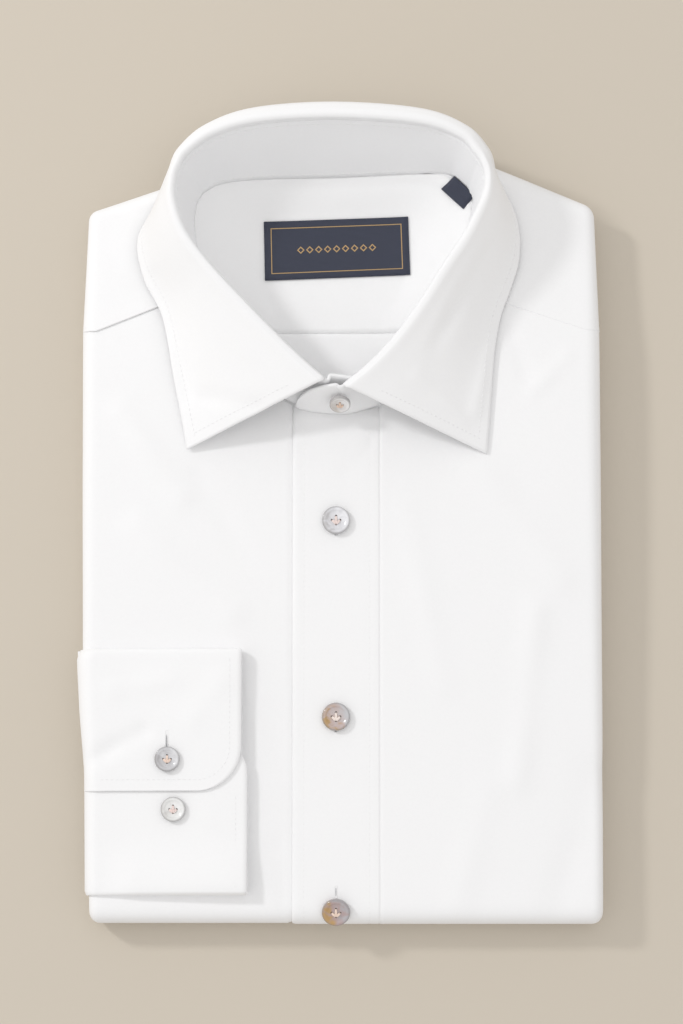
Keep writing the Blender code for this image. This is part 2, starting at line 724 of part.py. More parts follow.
def leaf_section(row, inward):
    """Outer points of the leaf from its seam over the fold to its edge."""
    fold = Vector((row.fold_x, row.fold_y, row.fold_z))
    edge = Vector((row.edge_x, row.edge_y, row.edge_z))
    into = Vector((inward.x, inward.y, 0.0))
    fall = edge - fold
    out = Vector((fall.x, fall.y, 0.0)).normalized()
    steep = -fall.z / fall.length
    bulge = Vector((out.x * steep, out.y * steep, math.sqrt(max(0.0, 1.0 - steep * steep))))
    ridge = max(0.0, row.seam_in - ROLL_IN)
    roll = row.seam_in - ridge
    back = min(1.0, ridge / RIDGE_MOST)
    down = Vector((0.0, 0.0, -1.0))
    over = fall.normalized() * 1.8 + bulge * 0.9
    points = [
        seam_point(row, inward) - down * GAP,
        fold + into * (ridge + roll * 0.98) + down * 1.9,
        fold + into * (ridge + roll * 0.62) + down * 0.45,
        fold + into * ridge,
        fold + into * ridge * 0.5 + down * 0.9 * back + over * (1.0 - back),
    ]
    outer = fold + down * RIDGE_DROP * back
    fall = edge - outer
    for share in (0.12 - 0.09 * back, 0.3, 0.55, 0.8):
        swell = LEAF_SWELL * math.sin(math.pi * min(1.0, share * 1.15) ** 0.7)
        points.append(outer + fall * share + bulge * swell)
    points.append(edge)
    return points


def make_collar():
    inward = collar_frame()
    sections = [leaf_section(row, n) for row, n in zip(COLLAR, inward)]
    grid = []
    fine = 2 * (len(COLLAR) - 1)
    for i in range(fine + 1):
        t = i / fine
        grid.append([spline([s[k] for s in sections], t) for k in range(len(sections[0]))])
    new_object("collar_leaf", wall_mesh(grid, LEAF_WALL, -1.0), PANEL)

    foot = NECK_HEIGHT + GAP
    stand = [(band.base_x, band.base_y, Vector((band.top_x, band.top_y, band.top_z)))
             for band in BACK_BAND]
    stand += [(row.neck_x, row.neck_y, seam_point(row, n)) for row, n in zip(COLLAR, inward)]
    stand += [(band.base_x, band.base_y, Vector((band.top_x, band.top_y, band.top_z)))
              for band in FRONT_BAND]
    grid = []
    fine = 2 * (len(stand) - 1)
    for i in range(fine + 1):
        base = spline([(x, y, foot) for x, y, top in stand], i / fine)
        top = spline([top for x, y, top in stand], i / fine)
        grid.append([base.lerp(top, k / 3.0) for k in range(4)])
    new_object("collar_stand", wall_mesh(grid, STAND_WALL, -1.0, level=True), SHADE)


def front_height(x, y):
    """Upper face of the front that the cuff lies on."""
    return body_top(x, y) - STEP_WALL - CLEAR


def cuff_roll(y, reach, low, high, sign):
    """Half-round soft roll of the cuff, from high to low or back."""
    half = (high - low) / 2.0
    points = []
    for k in range(1, 6):
        turn = math.pi * k / 5.0
        points.append((y + sign * reach * math.sin(turn), low + half + sign * half * math.cos(turn)))
    return points


def make_cuff():
    corners = 4
    section = []
    for k in range(corners + 1):
        drop = CUFF_CORNER * math.cos(math.pi / 2.0 * k / corners)
        section.append((CUFF_LAP_Y + CUFF_CORNER - drop, OVER_LIFT))
    section += [(-95.0, OVER_LIFT), (CUFF_TOP_Y - 3.6, OVER_LIFT)]
    section += cuff_roll(CUFF_TOP_Y - CUFF_ROLL_TOP, CUFF_ROLL_TOP, GAP, OVER_LIFT, 1.0)
    section += [(-95.0, GAP), (-130.0, GAP), (CUFF_BOTTOM_Y + 3.2, GAP)]
    section += cuff_roll(CUFF_BOTTOM_Y + CUFF_ROLL_LOW, CUFF_ROLL_LOW, GAP, UNDER_LIFT, -1.0)
    section += [(-150.0, UNDER_LIFT), (-130.0, UNDER_LIFT), (CUFF_TUCK_Y, UNDER_LIFT)]
    grid = []
    columns = 6
    for i, (y, lift) in enumerate(section):
        lap = smooth(0.0, 1.0, max(0.0, 1.0 - i / 10.0))
        end = mix(CUFF_UNDER_X, CUFF_END_X, lap)
        if i <= corners:
            across = CUFF_CORNER * math.cos(math.pi / 2.0 * i / corners)
            end -= CUFF_CORNER - math.sqrt(max(0.0, CUFF_CORNER ** 2 - across ** 2))
        line = []
        for c in range(columns + 1):
            x = mix(end, CUFF_SEAM_X, c / columns)
            line.append(Vector((x, y, front_height(x, y) + lift)))
        grid.append(line)
    new_object("right_cuff", wall_mesh(grid, CUFF_WALL, -1.0), PANEL)


def make_sleeve():
    """Pressed end of the sleeve, from the cuff round the side fold to between the packs."""
    rows = [(CUFF_TOP_Y - 0.6, OVER_LIFT - 1.2), (CUFF_TOP_Y - 3.0, OVER_LIFT), (-90.0, OVER_LIFT),
            (-120.0, OVER_LIFT), (CUFF_LAP_Y + 0.6, OVER_LIFT), (CUFF_LAP_Y - 0.6, UNDER_LIFT),
            (-150.0, UNDER_LIFT), (CUFF_BOTTOM_Y + 2.6, UNDER_LIFT),
            (CUFF_BOTTOM_Y + 0.6, UNDER_LIFT - 0.8)]
    grid = []
    walls = []
    arc_cols = 6
    first = CUFF_SEAM_X - GAP
    for y, lift in rows:
        side = side_x(y, -1.0)
        radius = fold_radius(body_top(side, y) - STEP_WALL - CLEAR)
        start = side + radius
        side_wall = mix(SLEEVE_SIDE_LOW, SLEEVE_SIDE_TOP, smooth(-120.0, -75.0, y))
        line = []
        wall = []
        for c in range(3):
            x = mix(first, start, c / 2.0)
            line.append(Vector((x, y, front_height(x, y) + lift)))
            wall.append(lift - GAP)
        for c in range(1, arc_cols + 1):
            turn = math.radians(SLEEVE_WRAP_DEG) * c / arc_cols
            thick = mix(lift - GAP, side_wall, smooth(0.0, math.pi / 2.0, turn))
            reach = radius + GAP + thick
            z = front_height(start, y) - radius + reach * math.cos(turn)
            line.append(Vector((start - reach * math.sin(turn), y, z)))
            wall.append(thick)
        grid.append(line)
        walls.append(wall)
    new_object("right_sleeve", wall_mesh(grid, walls, 1.0), PANEL)


def button_mesh(width, thick):
    """Turned button: flat back, rounded rim and a dished face."""
    rings = ((0.90, -0.5), (1.0, -0.2), (1.0, 0.2), (0.90, 0.5), (0.74, 0.42), (0.62, 0.22))
    sides = 18
    bm = bmesh.new()
    loops = []
    for out, up in rings:
        loop = []
        for k in range(sides):
            angle = 2.0 * math.pi * k / sides
            loop.append(bm.verts.new((width / 2.0 * out * math.cos(angle),
                                      width / 2.0 * out * math.sin(angle), thick * up)))
        loops.append(loop)
    for a, b in zip(loops, loops[1:]):
        for k in range(sides):
            n = (k + 1) % sides
            bm.faces.new((a[k], a[n], b[n], b[k]))
    bm.faces.new(loops[0][::-1])
    bm.faces.new(loops[-1])
    return bm


def make_button(name, place, normal, width, thick, colour):
    """Button with four sewing holes, lying square to normal."""
    item = new_object(name, button_mesh(width, thick), colour, 0.25)
    bm = bmesh.new()
    hole = width * 0.055
    reach = width * 0.135
    for k in range(4):
        angle = math.pi / 2.0 * k
        before = set(bm.verts)
        bmesh.ops.create_cone(bm, cap_ends=True, segments=8, radius1=hole, radius2=hole,
                              depth=thick * 3.0)
        fresh = [v for v in bm.verts if v not in before]
        shift = Vector((reach * math.cos(angle), reach * math.sin(angle), 0.0))
        bmesh.ops.translate(bm, vec=shift, verts=fresh)
    cutter = new_object(name + "_holes", bm, colour)
    cutter.hide_render = True
    cutter.display_type = "WIRE"
    turn = Vector((0.0, 0.0, 1.0)).rotation_difference(Vector(normal).normalized())
    item.rotation_mode = "QUATERNION"
    item.rotation_quaternion = turn
    item.location = Vector(place) * MM
    cutter.parent = item
    cut = item.modifiers.new("sewing holes", "BOOLEAN")
    cut.operation = "DIFFERENCE"
    cut.solver = "EXACT"
    cut.object = cutter


def make_buttons():
    rest = GAP + BUTTON_THICK / 2.0
    upright = (0.0, 0.0, 1.0)
    for name, y, colour in (("front_button_1", -4.2, PEARL), ("front_button_2", -94.2, AMBER)):
        place = (BUTTON_X, y, body_top(BUTTON_X, y) + rest)
        make_button(name, place, upright, FRONT_BUTTON, BUTTON_THICK, colour)
    half = HEM_HEIGHT / 2.0
    tilt = math.radians(FOLD_BUTTON_TILT)
    reach = half + rest + 0.35
    place = (BUTTON_X, FOLD_Y - reach * math.sin(tilt), half + reach * math.cos(tilt))
    make_button("front_button_3", place, (0.0, -math.sin(tilt), math.cos(tilt)),
                FRONT_BUTTON, BUTTON_THICK, AMBER)
    for name, x, y, lift, width, colour in (
            ("cuff_button_1", -79.0, -113.6, OVER_LIFT, 11.4, PEARL),
            ("cuff_button_2", -76.2, -136.2, UNDER_LIFT, 11.2, PANEL)):
        place = (x, y, front_height(x, y) + lift + rest)
        make_button(name, place, upright, width, BUTTON_THICK, colour)
    make_button("collar_button", (-0.7, 47.6, 37.6), (0.0, -0.80, 0.60), 9.6, 2.2, PEARL)


def laid_grid(corners, rows, cols, lift_at):
    """Grid between four corners that follows the inside of the back, lifted off it."""
    grid = []
    for i in range(rows + 1):
        down = i / rows
        line = []
        for j in range(cols + 1):
            sewn = Vector(corners.left).lerp(Vector(corners.right), j / cols)
            free = Vector(corners.free_left).lerp(Vector(corners.free_right), j / cols)
            spot = sewn.lerp(free, down)
            line.append(Vector((spot.x, spot.y, dish_top(spot.x, spot.y) + lift_at(down))))
        grid.append(line)
    return grid


def make_label():
    """Woven label on the inner yoke, made from the yoke's face moved out."""
    grid = laid_grid(LABEL, 4, 8, lambda down: 2.1)
    new_object("neck_label", wall_mesh(grid, 1.0, -1.0), NAVY, 0.7)


def make_size_tab():
    """Folded tab sewn into the foot of the stand, lying on the inner yoke."""
    grid = laid_grid(SIZE_TAB, 3, 3, lambda down: mix(3.4, 1.5, smooth(0.0, 0.6, down)))
    new_object("size_tab", wall_mesh(grid, 1.0, -1.0), NAVY, 0.7)


def clear_scene():
    for item in list(bpy.data.objects):
        bpy.data.objects.remove(item, do_unlink=True)


clear_scene()
make_fronts()
make_placket()
make_yoke()
make_inner_back()
make_core()
make_collar()
make_cuff()
make_sleeve()
make_buttons()
make_label()
make_size_tab()
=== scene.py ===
import math

import bmesh
import bpy
from mathutils import Matrix, Vector


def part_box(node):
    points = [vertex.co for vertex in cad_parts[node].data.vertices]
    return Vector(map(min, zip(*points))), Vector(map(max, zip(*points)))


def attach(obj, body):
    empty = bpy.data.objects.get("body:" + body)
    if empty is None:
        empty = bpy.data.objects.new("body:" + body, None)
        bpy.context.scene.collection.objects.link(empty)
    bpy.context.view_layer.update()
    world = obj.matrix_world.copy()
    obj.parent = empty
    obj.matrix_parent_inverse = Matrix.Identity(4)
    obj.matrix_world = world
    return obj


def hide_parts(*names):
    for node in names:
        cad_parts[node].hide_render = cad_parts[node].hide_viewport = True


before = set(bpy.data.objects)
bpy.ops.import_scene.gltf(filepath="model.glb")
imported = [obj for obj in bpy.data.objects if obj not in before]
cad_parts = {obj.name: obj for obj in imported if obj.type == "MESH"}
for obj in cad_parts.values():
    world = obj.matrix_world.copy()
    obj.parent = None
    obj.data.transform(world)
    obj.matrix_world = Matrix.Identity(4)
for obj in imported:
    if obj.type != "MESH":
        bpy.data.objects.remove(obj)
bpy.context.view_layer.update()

# Sizes are in millimetres, and the frame's node boxes give the main ones
mm = 0.001


def nodeBox(name):
    low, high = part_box(name)
    return Vector(low) / mm, Vector(high) / mm


placketLow, placketHigh = nodeBox("front_placket")
body = {
    "hemHeight": 20.0,
    "neckHeight": placketHigh.z,
    "splitZ": 10.0,
    "foldY": placketLow.y + 9.7,
    "tailTurn": 60.7,
    "bends": 14,
    "wrap": math.radians(150.0),
    "square": 2.8,
    "wall": 0.7,
    "gap": 0.3,
    "placketLeft": placketLow.x,
    "placketRight": placketHigh.x,
    "underlapX": 13.0,
    "frontNeckY": 47.0,
    "sink": 0.85,
    "frontDrop": 1.4,
    "dishZ": 14.0,
    "yokeSeamY": 85.5,
    "centre": (-3.5, 108.0),
}

sides = [
    {"y": -190.0, "left": -114.4, "right": 118.6},
    {"y": -120.0, "left": -115.4, "right": 119.2},
    {"y": -90.0, "left": -117.4, "right": 119.4},
    {"y": -60.0, "left": -118.8, "right": 119.5},
    {"y": 20.0, "left": -119.8, "right": 119.9},
    {"y": 86.0, "left": -120.4, "right": 120.1},
    {"y": 125.0, "left": -119.1, "right": 119.3},
    {"y": 150.0, "left": -118.0, "right": 118.4},
]

shoulders = [
    {"x": -118.3, "y": 142.2, "radius": 5.5},
    {"x": -30.0, "y": 171.5, "radius": 45.0},
    {"x": 50.0, "y": 172.5, "radius": 45.0},
    {"x": 118.3, "y": 144.6, "radius": 7.5},
]

# Neck seam, from the front round the left, the back and the right
neck = [(-5.0, 46.5), (-15.0, 48.0), (-27.0, 52.8), (-38.6, 65.1), (-50.7, 84.9), (-61.0, 106.0),
        (-68.0, 122.0), (-70.1, 135.0), (-69.0, 145.0), (-64.5, 151.6), (-56.0, 156.0),
        (-38.0, 158.0), (-3.0, 158.9), (31.0, 160.0), (48.0, 158.4), (56.5, 153.0),
        (60.6, 145.0), (60.9, 136.0), (57.6, 121.0), (50.5, 104.5), (42.8, 86.5),
        (32.6, 67.5), (19.5, 51.0), (8.0, 46.8)]

# Collar sections: neck seam, fold, leaf edge, then how far in and down the leaf's seam lies
collarRows = [
    (-14.0, 50.3, -9.0, 56.9, 48.0, -71.2, 28.9, 25.6, 2.0, 3.8),
    (-26.0, 54.2, -18.4, 65.1, 48.5, -72.3, 35.8, 25.8, 2.0, 3.9),
    (-37.2, 66.2, -29.3, 75.6, 49.0, -74.5, 47.1, 26.0, 2.0, 4.0),
    (-49.2, 85.8, -44.9, 91.7, 50.0, -77.6, 62.5, 26.2, 2.0, 4.2),
    (-59.6, 107.0, -61.0, 109.1, 51.5, -83.0, 90.5, 26.3, 2.0, 4.4),
    (-66.4, 122.4, -72.6, 124.6, 53.0, -91.5, 108.0, 26.3, 2.2, 4.6),
    (-68.4, 135.0, -77.8, 139.0, 54.2, -95.0, 126.0, 26.0, 2.4, 4.8),
    (-67.4, 144.4, -78.6, 149.6, 55.0, -89.0, 140.5, 25.6, 3.2, 5.0),
    (-65.6, 148.0, -77.2, 157.6, 55.5, -83.4, 150.0, 25.0, 4.4, 5.1),
    (-63.2, 150.6, -74.0, 165.0, 56.0, -78.6, 159.5, 22.0, 5.8, 5.2),
    (-55.4, 154.4, -62.0, 175.0, 57.0, -64.8, 174.0, 16.0, 7.0, 5.3),
    (-37.6, 156.4, -40.2, 182.1, 58.0, -43.0, 185.4, 13.8, 7.6, 5.4),
    (-3.0, 157.3, -3.0, 184.6, 58.5, -3.0, 189.4, 13.0, 7.8, 5.5),
    (30.8, 159.0, 36.7, 181.7, 58.0, 39.4, 185.2, 13.8, 7.6, 5.4),
    (48.6, 159.0, 57.0, 174.4, 57.0, 60.6, 173.8, 16.0, 7.0, 5.3),
    (57.2, 153.6, 65.2, 164.6, 56.0, 69.8, 166.0, 22.4, 5.8, 5.2),
    (59.6, 149.6, 67.8, 158.0, 55.6, 73.4, 153.6, 25.4, 4.4, 5.1),
    (61.0, 145.4, 68.3, 151.5, 55.0, 80.0, 142.5, 25.6, 3.2, 5.0),
    (59.3, 136.2, 67.0, 143.5, 54.5, 83.0, 129.0, 26.0, 2.4, 4.9),
    (57.6, 128.0, 63.6, 135.4, 54.0, 82.2, 116.0, 26.2, 2.2, 4.8),
    (55.4, 119.6, 57.2, 123.0, 53.0, 78.4, 103.5, 26.3, 2.2, 4.6),
    (48.9, 105.2, 46.8, 107.9, 51.5, 73.9, 91.0, 26.3, 2.0, 4.4),
    (41.2, 87.4, 36.3, 91.3, 50.0, 71.0, 75.5, 26.2, 2.0, 4.2),
    (31.2, 68.6, 24.8, 75.7, 49.0, 69.5, 58.5, 26.0, 2.0, 4.0),
    (19.0, 52.8, 13.0, 63.2, 48.5, 68.2, 42.0, 25.8, 2.0, 3.9),
    (8.4, 48.2, 2.0, 54.2, 48.0, 67.0, 26.8, 25.6, 2.0, 3.8),
]
rowKeys = ("neckX", "neckY", "foldX", "foldY", "foldZ", "edgeX", "edgeY", "edgeZ", "seamIn", "seamDrop")
collar = [dict(zip(rowKeys, row)) for row in collarRows]

# Ends of the stand past the leaf: base x and y, top x, y and z
frontBand = [(1.6, 46.8, -2.5, 56.0, 44.9), (-8.0, 47.0, -8.2, 55.3, 44.2),
             (-14.6, 48.0, -14.2, 54.2, 41.0), (-18.6, 49.0, -18.0, 52.8, 36.2),
             (-20.6, 50.0, -20.2, 51.4, 29.5)]
backBand = [(16.8, 53.6, 16.4, 55.6, 30.0), (14.6, 52.6, 13.6, 57.6, 37.0),
            (8.8, 51.4, 7.6, 59.3, 41.5), (-1.0, 50.7, -1.4, 60.4, 43.6),
            (-8.0, 50.3, -5.6, 60.4, 44.2)]

cuff = {
    "endX": -45.8, "underX": -43.0, "topY": -63.2, "lapY": -127.8, "bottomY": -174.8,
    "corner": 20.0, "wall": 1.0, "tuckY": -112.0, "rollTop": 2.4, "rollLow": 1.9,
    "back": 0.3, "under": 3.0, "over": 4.5, "wrap": math.radians(104.0), "sideTop": 2.6, "sideLow": 1.7,
    "sideGap": 0.3,
    "topRound": 1.8, "spring": 2.6, "bottomSpring": 2.2,
}

# Soft creases on the panels: two ends, half width and depth, troughs below zero
frontCreases = [
    {"from": (78.0, 84.0), "to": (86.0, 62.0), "width": 5.0, "depth": -0.50},
    {"from": (104.0, 72.0), "to": (88.0, 56.0), "width": 5.0, "depth": 0.50},
    {"from": (64.0, 20.0), "to": (100.0, -30.0), "width": 10.0, "depth": 0.80},
    {"from": (89.0, -46.0), "to": (80.0, -122.0), "width": 8.0, "depth": 0.95},
    {"from": (30.0, 0.0), "to": (46.0, -80.0), "width": 8.0, "depth": 0.60},
    {"from": (116.0, -120.0), "to": (98.0, -182.0), "width": 10.0, "depth": -0.75},
    {"from": (66.0, -128.0), "to": (52.0, -180.0), "width": 9.0, "depth": 0.60},
    {"from": (-28.0, -150.0), "to": (-25.0, -186.0), "width": 5.0, "depth": -0.50},
    {"from": (-102.0, 46.0), "to": (-74.0, 8.0), "width": 8.0, "depth": 1.20},
    {"from": (-94.0, -8.0), "to": (-50.0, -46.0), "width": 9.0, "depth": 1.05},
    {"from": (-66.0, 16.0), "to": (-44.0, -20.0), "width": 6.0, "depth": -0.40},
    {"from": (-46.0, -66.0), "to": (-32.0, -130.0), "width": 6.0, "depth": 0.45},
    {"from": (17.8, 41.5), "to": (14.0, 33.5), "width": 2.2, "depth": -0.70},
    {"from": (13.0, 30.0), "to": (2.0, 18.0), "width": 4.0, "depth": -0.45},
]
cuffCreases = [
    {"from": (-114.0, -114.0), "to": (-90.0, -101.0), "width": 4.5, "depth": -1.10},
    {"from": (-104.0, -82.0), "to": (-78.0, -78.0), "width": 6.0, "depth": 0.55},
    {"from": (-68.0, -96.0), "to": (-54.0, -78.0), "width": 7.0, "depth": 0.45},
    {"from": (-108.0, -150.0), "to": (-66.0, -158.0), "width": 8.0, "depth": -0.25},
    {"from": (-62.0, -138.0), "to": (-48.0, -164.0), "width": 6.0, "depth": 0.2},
]
yokeCreases = [
    {"from": (96.0, 128.0), "to": (82.0, 100.0), "width": 5.0, "depth": 0.70},
    {"from": (-112.0, 130.0), "to": (-98.0, 104.0), "width": 9.0, "depth": -0.35},
    {"from": (96.0, 138.0), "to": (108.0, 104.0), "width": 11.0, "depth": -0.35},
    {"from": (84.0, 150.0), "to": (104.0, 143.0), "width": 5.0, "depth": 0.25},
]
leafCreases = [
    {"from": (-60.0, 112.0), "to": (-40.0, 70.0), "width": 5.0, "depth": 1.10},
    {"from": (-86.0, 108.0), "to": (-72.0, 54.0), "width": 6.0, "depth": -1.30},
    {"from": (-62.0, 52.0), "to": (-38.0, 46.0), "width": 5.0, "depth": -0.80},
    {"from": (66.0, 118.0), "to": (42.0, 76.0), "width": 6.0, "depth": -1.10},
    {"from": (78.0, 98.0), "to": (62.0, 46.0), "width": 5.0, "depth": 0.80},
    {"from": (34.0, 60.0), "to": (56.0, 42.0), "width": 4.0, "depth": 0.60},
]


def smooth(low, high, value):
    t = min(1.0, max(0.0, (value - low) / (high - low)))
    return t * t * (3.0 - 2.0 * t)


def mix(a, b, t):
    return a + (b - a) * t


def spread(count):
    return [i / (count - 1.0) for i in range(count)]


# Point at t, from 0 to 1, on the smooth curve through evenly spaced points
def spline(points, t):
    last = len(points) - 1
    place = min(max(t, 0.0), 1.0) * last
    i = min(int(place), last - 1)
    u = place - i
    p1 = Vector(points[i])
    p2 = Vector(points[i + 1])
    p0 = Vector(points[i - 1]) if i > 0 else p1 * 2.0 - p2
    p3 = Vector(points[i + 2]) if i + 2 <= last else p2 * 2.0 - p1
    a = p1 * 2.0
    b = p2 - p0
    c = p0 * 2.0 - p1 * 5.0 + p2 * 4.0 - p3
    d = p1 * 3.0 - p0 - p2 * 3.0 + p3
    return (a + b * u + c * u * u + d * u * u * u) * 0.5


def bodyTop(x, y):
    rise = smooth(-170.0, 50.0, y)
    droop = 3.4 * smooth(70.0, 120.0, abs(x)) * smooth(60.0, 140.0, y)
    return body["hemHeight"] + (body["neckHeight"] - body["hemHeight"]) * rise - droop


def yokeTop(x, y):
    return bodyTop(x, y) - 1.5 * smooth(158.0, 173.0, y)


def sideX(y, sign):
    key = "left" if sign < 0 else "right"
    for low, high in zip(sides, sides[1:]):
        if y <= high["y"]:
            t = smooth(low["y"], high["y"], y) * 0.3 + 0.7 * max(0.0, (y - low["y"]) / (high["y"] - low["y"]))
            return mix(low[key], high[key], t)
    return sides[-1][key]


def foldRadius(top):
    return (top - body["splitZ"] - 0.4) / 2.0


def angleOf(x, y):
    return math.atan2(y - body["centre"][1], x - body["centre"][0])


smoothNeck = [spline([(x, y, 0.0) for x, y in neck + neck[:1]], i / 191.0) for i in range(192)]


def neckPoint(angle):
    ray = Vector((math.cos(angle), math.sin(angle)))
    across = Vector((-ray.y, ray.x))
    middle = Vector(body["centre"])
    for first, second in zip(smoothNeck, smoothNeck[1:] + smoothNeck[:1]):
        a = Vector((first.x, first.y)) - middle
        b = Vector((second.x, second.y)) - middle
        sideA = a.dot(across)
        sideB = b.dot(across)
        if sideA >= 0.0 > sideB or sideA < 0.0 <= sideB:
            hit = a.lerp(b, sideA / (sideA - sideB))
            if hit.dot(ray) > 0.0:
                return middle + hit
    return middle


neckTable = [neckPoint(2.0 * math.pi * i / 720.0) for i in range(720)]


def neckAt(angle):
    place = (angle / (2.0 * math.pi) % 1.0) * 720.0
    i = int(place) % 720
    return neckTable[i].lerp(neckTable[(i + 1) % 720], place - int(place))


def neckShare(x, y):
    away = Vector((x - body["centre"][0], y - body["centre"][1]))
    rim = neckAt(angleOf(x, y)) - Vector(body["centre"])
    return away.length / rim.length


def dishTop(x, y):
    rise = smooth(0.52, 1.0, neckShare(x, y)) * smooth(62.0, 112.0, y)
    return mix(body["dishZ"], body["neckHeight"] - 1.2 - body["gap"], rise)


def creased(creases, x, y):
    lift = 0.0
    for crease in creases:
        a = Vector(crease["from"])
        b = Vector(crease["to"])
        along = b - a
        spot = Vector((x, y)) - a
        t = spot.dot(along) / along.length_squared
        near = min(1.0, max(0.0, t))
        away = (spot - along * near).length
        if away > crease["width"] * 2.6:
            continue
        wave = 1.0 + 0.25 * math.sin(7.0 * near + a.x)
        lift += crease["depth"] * wave * math.exp(-(away / crease["width"]) ** 2 * 1.6)
    return lift


# Meshes
def gridNormals(grid):
    rows = len(grid)
    cols = len(grid[0])
    normals = []
    for r in range(rows):
        line = []
        for c in range(cols):
            down = grid[min(r + 1, rows - 1)][c] - grid[max(r - 1, 0)][c]
            over = grid[r][min(c + 1, cols - 1)] - grid[r][max(c - 1, 0)]
            line.append(over.cross(down).normalized())
        normals.append(line)
    return normals


def newPiece(name, bm):
    mesh = bpy.data.meshes.new(name)
    bm.to_mesh(mesh)
    bm.free()
    mesh.shade_smooth()
    item = bpy.data.objects.new(name, mesh)
    bpy.context.collection.objects.link(item)
    return item


def ringAround(bm, middle, across, up):
    turns = [2.0 * math.pi * k / 6.0 for k in range(6)]
    return [bm.verts.new(middle + across * math.cos(turn) + up * math.sin(turn)) for turn in turns]


# Closes rings of points into a tube with flat ends
def closeTube(bm, rings):
    count = len(rings[0])
    for a, b in zip(rings, rings[1:]):
        for k in range(count):
            bm.faces.new((a[k], a[(k + 1) % count], b[(k + 1) % count], b[k]))
    bm.faces.new(rings[0][::-1])
    bm.faces.new(rings[-1])


# Closed cloth wall behind a grid of outer points, with a rounded rim and its own UVs in metres
def clothWall(name, grid, wall, outward=1.0, level=False, lift=None):
    rows = len(grid)
    cols = len(grid[0])
    normals = gridNormals(grid)
    if level:
        normals = [[Vector((n.x, n.y, 0.0)).normalized() for n in line] for line in normals]
    if lift:
        grid = [[p + n * outward * lift(p) for p, n in zip(line, normal)]
                for line, normal in zip(grid, normals)]
    bm = bmesh.new()
    uvLayer = bm.loops.layers.uv.new("cloth")
    outer = [[bm.verts.new(p) for p in line] for line in grid]
    inner = [[bm.verts.new(p - n * wall * outward) for p, n in zip(line, normal)]
             for line, normal in zip(grid, normals)]
    place = {}
    along = [0.0]
    for c in range(1, cols):
        along.append(along[-1] + (grid[rows // 2][c] - grid[rows // 2][c - 1]).length)
    down = [0.0]
    for r in range(1, rows):
        down.append(down[-1] + (grid[r][cols // 2] - grid[r - 1][cols // 2]).length)
    for r in range(rows):
        for c in range(cols):
            place[outer[r][c]] = (along[c] * mm, down[r] * mm)
            place[inner[r][c]] = (along[c] * mm, down[r] * mm)
    for r in range(rows - 1):
        for c in range(cols - 1):
            bm.faces.new((outer[r][c], outer[r + 1][c], outer[r + 1][c + 1], outer[r][c + 1]))
            bm.faces.new((inner[r][c], inner[r][c + 1], inner[r + 1][c + 1], inner[r + 1][c]))

    def rim(pairs):
        last = None
        for a, b, out in pairs:
            middle = bm.verts.new((a.co + b.co) * 0.5 + out * (a.co - b.co).length * 0.32)
            place[middle] = place[a]
            if last:
                bm.faces.new((last[0], a, middle, last[2]))
                bm.faces.new((last[2], middle, b, last[1]))
            last = (a, b, middle)

    def away(edge, inside):
        step = edge - inside
        return step.normalized() if step.length > 1e-6 else Vector((0.0, 0.0, 0.0))

    rim([(outer[0][c], inner[0][c], away(grid[0][c], grid[1][c])) for c in range(cols)])
    rim([(outer[-1][c], inner[-1][c], away(grid[-1][c], grid[-2][c])) for c in range(cols)])
    rim([(outer[r][0], inner[r][0], away(grid[r][0], grid[r][1])) for r in range(rows)])
    rim([(outer[r][-1], inner[r][-1], away(grid[r][-1], grid[r][-2])) for r in range(rows)])
    openEdges = [edge for edge in bm.edges if edge.is_boundary]
    if openEdges:
        bmesh.ops.holes_fill(bm, edges=openEdges, sides=8)
    for face in bm.faces:
        for loop in face.loops:
            loop[uvLayer].uv = place.get(loop.vert, (0.0, 0.0))
    bmesh.ops.scale(bm, vec=(mm, mm, mm), verts=bm.verts)
    bmesh.ops.recalc_face_normals(bm, faces=bm.faces)
    return newPiece(name, bm)


def finishPiece(item, node, material):
    item.data.materials.clear()
    item.data.materials.append(material)
    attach(item, "root")
    if node:
        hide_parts(node)
    return item


# Materials
def newMaterial(name):
    material = bpy.data.materials.new(name)
    material.use_nodes = True
    return material, material.node_tree, material.node_tree.nodes["Principled BSDF"]


# Each input takes a number, a colour or another node's output
def setInputs(tree, node, inputs):
    for key, value in inputs.items():
        if isinstance(value, bpy.types.NodeSocket):
            tree.links.new(value, node.inputs[key])
        else:
            node.inputs[key].default_value = value
    return node


def addNode(tree, kind, inputs, **settings):
    node = tree.nodes.new(kind)
    for key, value in settings.items():
        setattr(node, key, value)
    return setInputs(tree, node, inputs)


def maths(tree, kind, a, b=0.0, clamp=False):
    return addNode(tree, "ShaderNodeMath", {0: a, 1: b}, operation=kind, use_clamp=clamp).outputs[0]


def mixColour(tree, factor, first, second):
    inputs = {"Factor": factor, 6: first, 7: second}
    return addNode(tree, "ShaderNodeMix", inputs, data_type="RGBA").outputs[2]


def bumped(tree, height, strength, distance, normal=None):
    inputs = {"Height": height, "Strength": strength, "Distance": distance}
    if normal:
        inputs["Normal"] = normal
    return addNode(tree, "ShaderNodeBump", inputs).outputs["Normal"]


def noise(tree, place, scale, detail, distortion=0.0):
    inputs = {"Scale": scale, "Detail": detail, "Distortion": distortion, "Vector": place}
    return addNode(tree, "ShaderNodeTexNoise", inputs).outputs["Fac"]


def waves(tree, place, direction, scale, distortion=0.0):
    inputs = {"Scale": scale, "Distortion": distortion, "Vector": place}
    return addNode(tree, "ShaderNodeTexWave", inputs, bands_direction=direction).outputs["Fac"]


def fade(tree, value, low, high, most=1.0):
    inputs = {"Value": value, "From Min": low, "From Max": high, "To Max": most}
    return addNode(tree, "ShaderNodeMapRange", inputs).outputs["Result"]


def objectPlace(tree):
    return addNode(tree, "ShaderNodeTexCoord", {}).outputs["Object"]


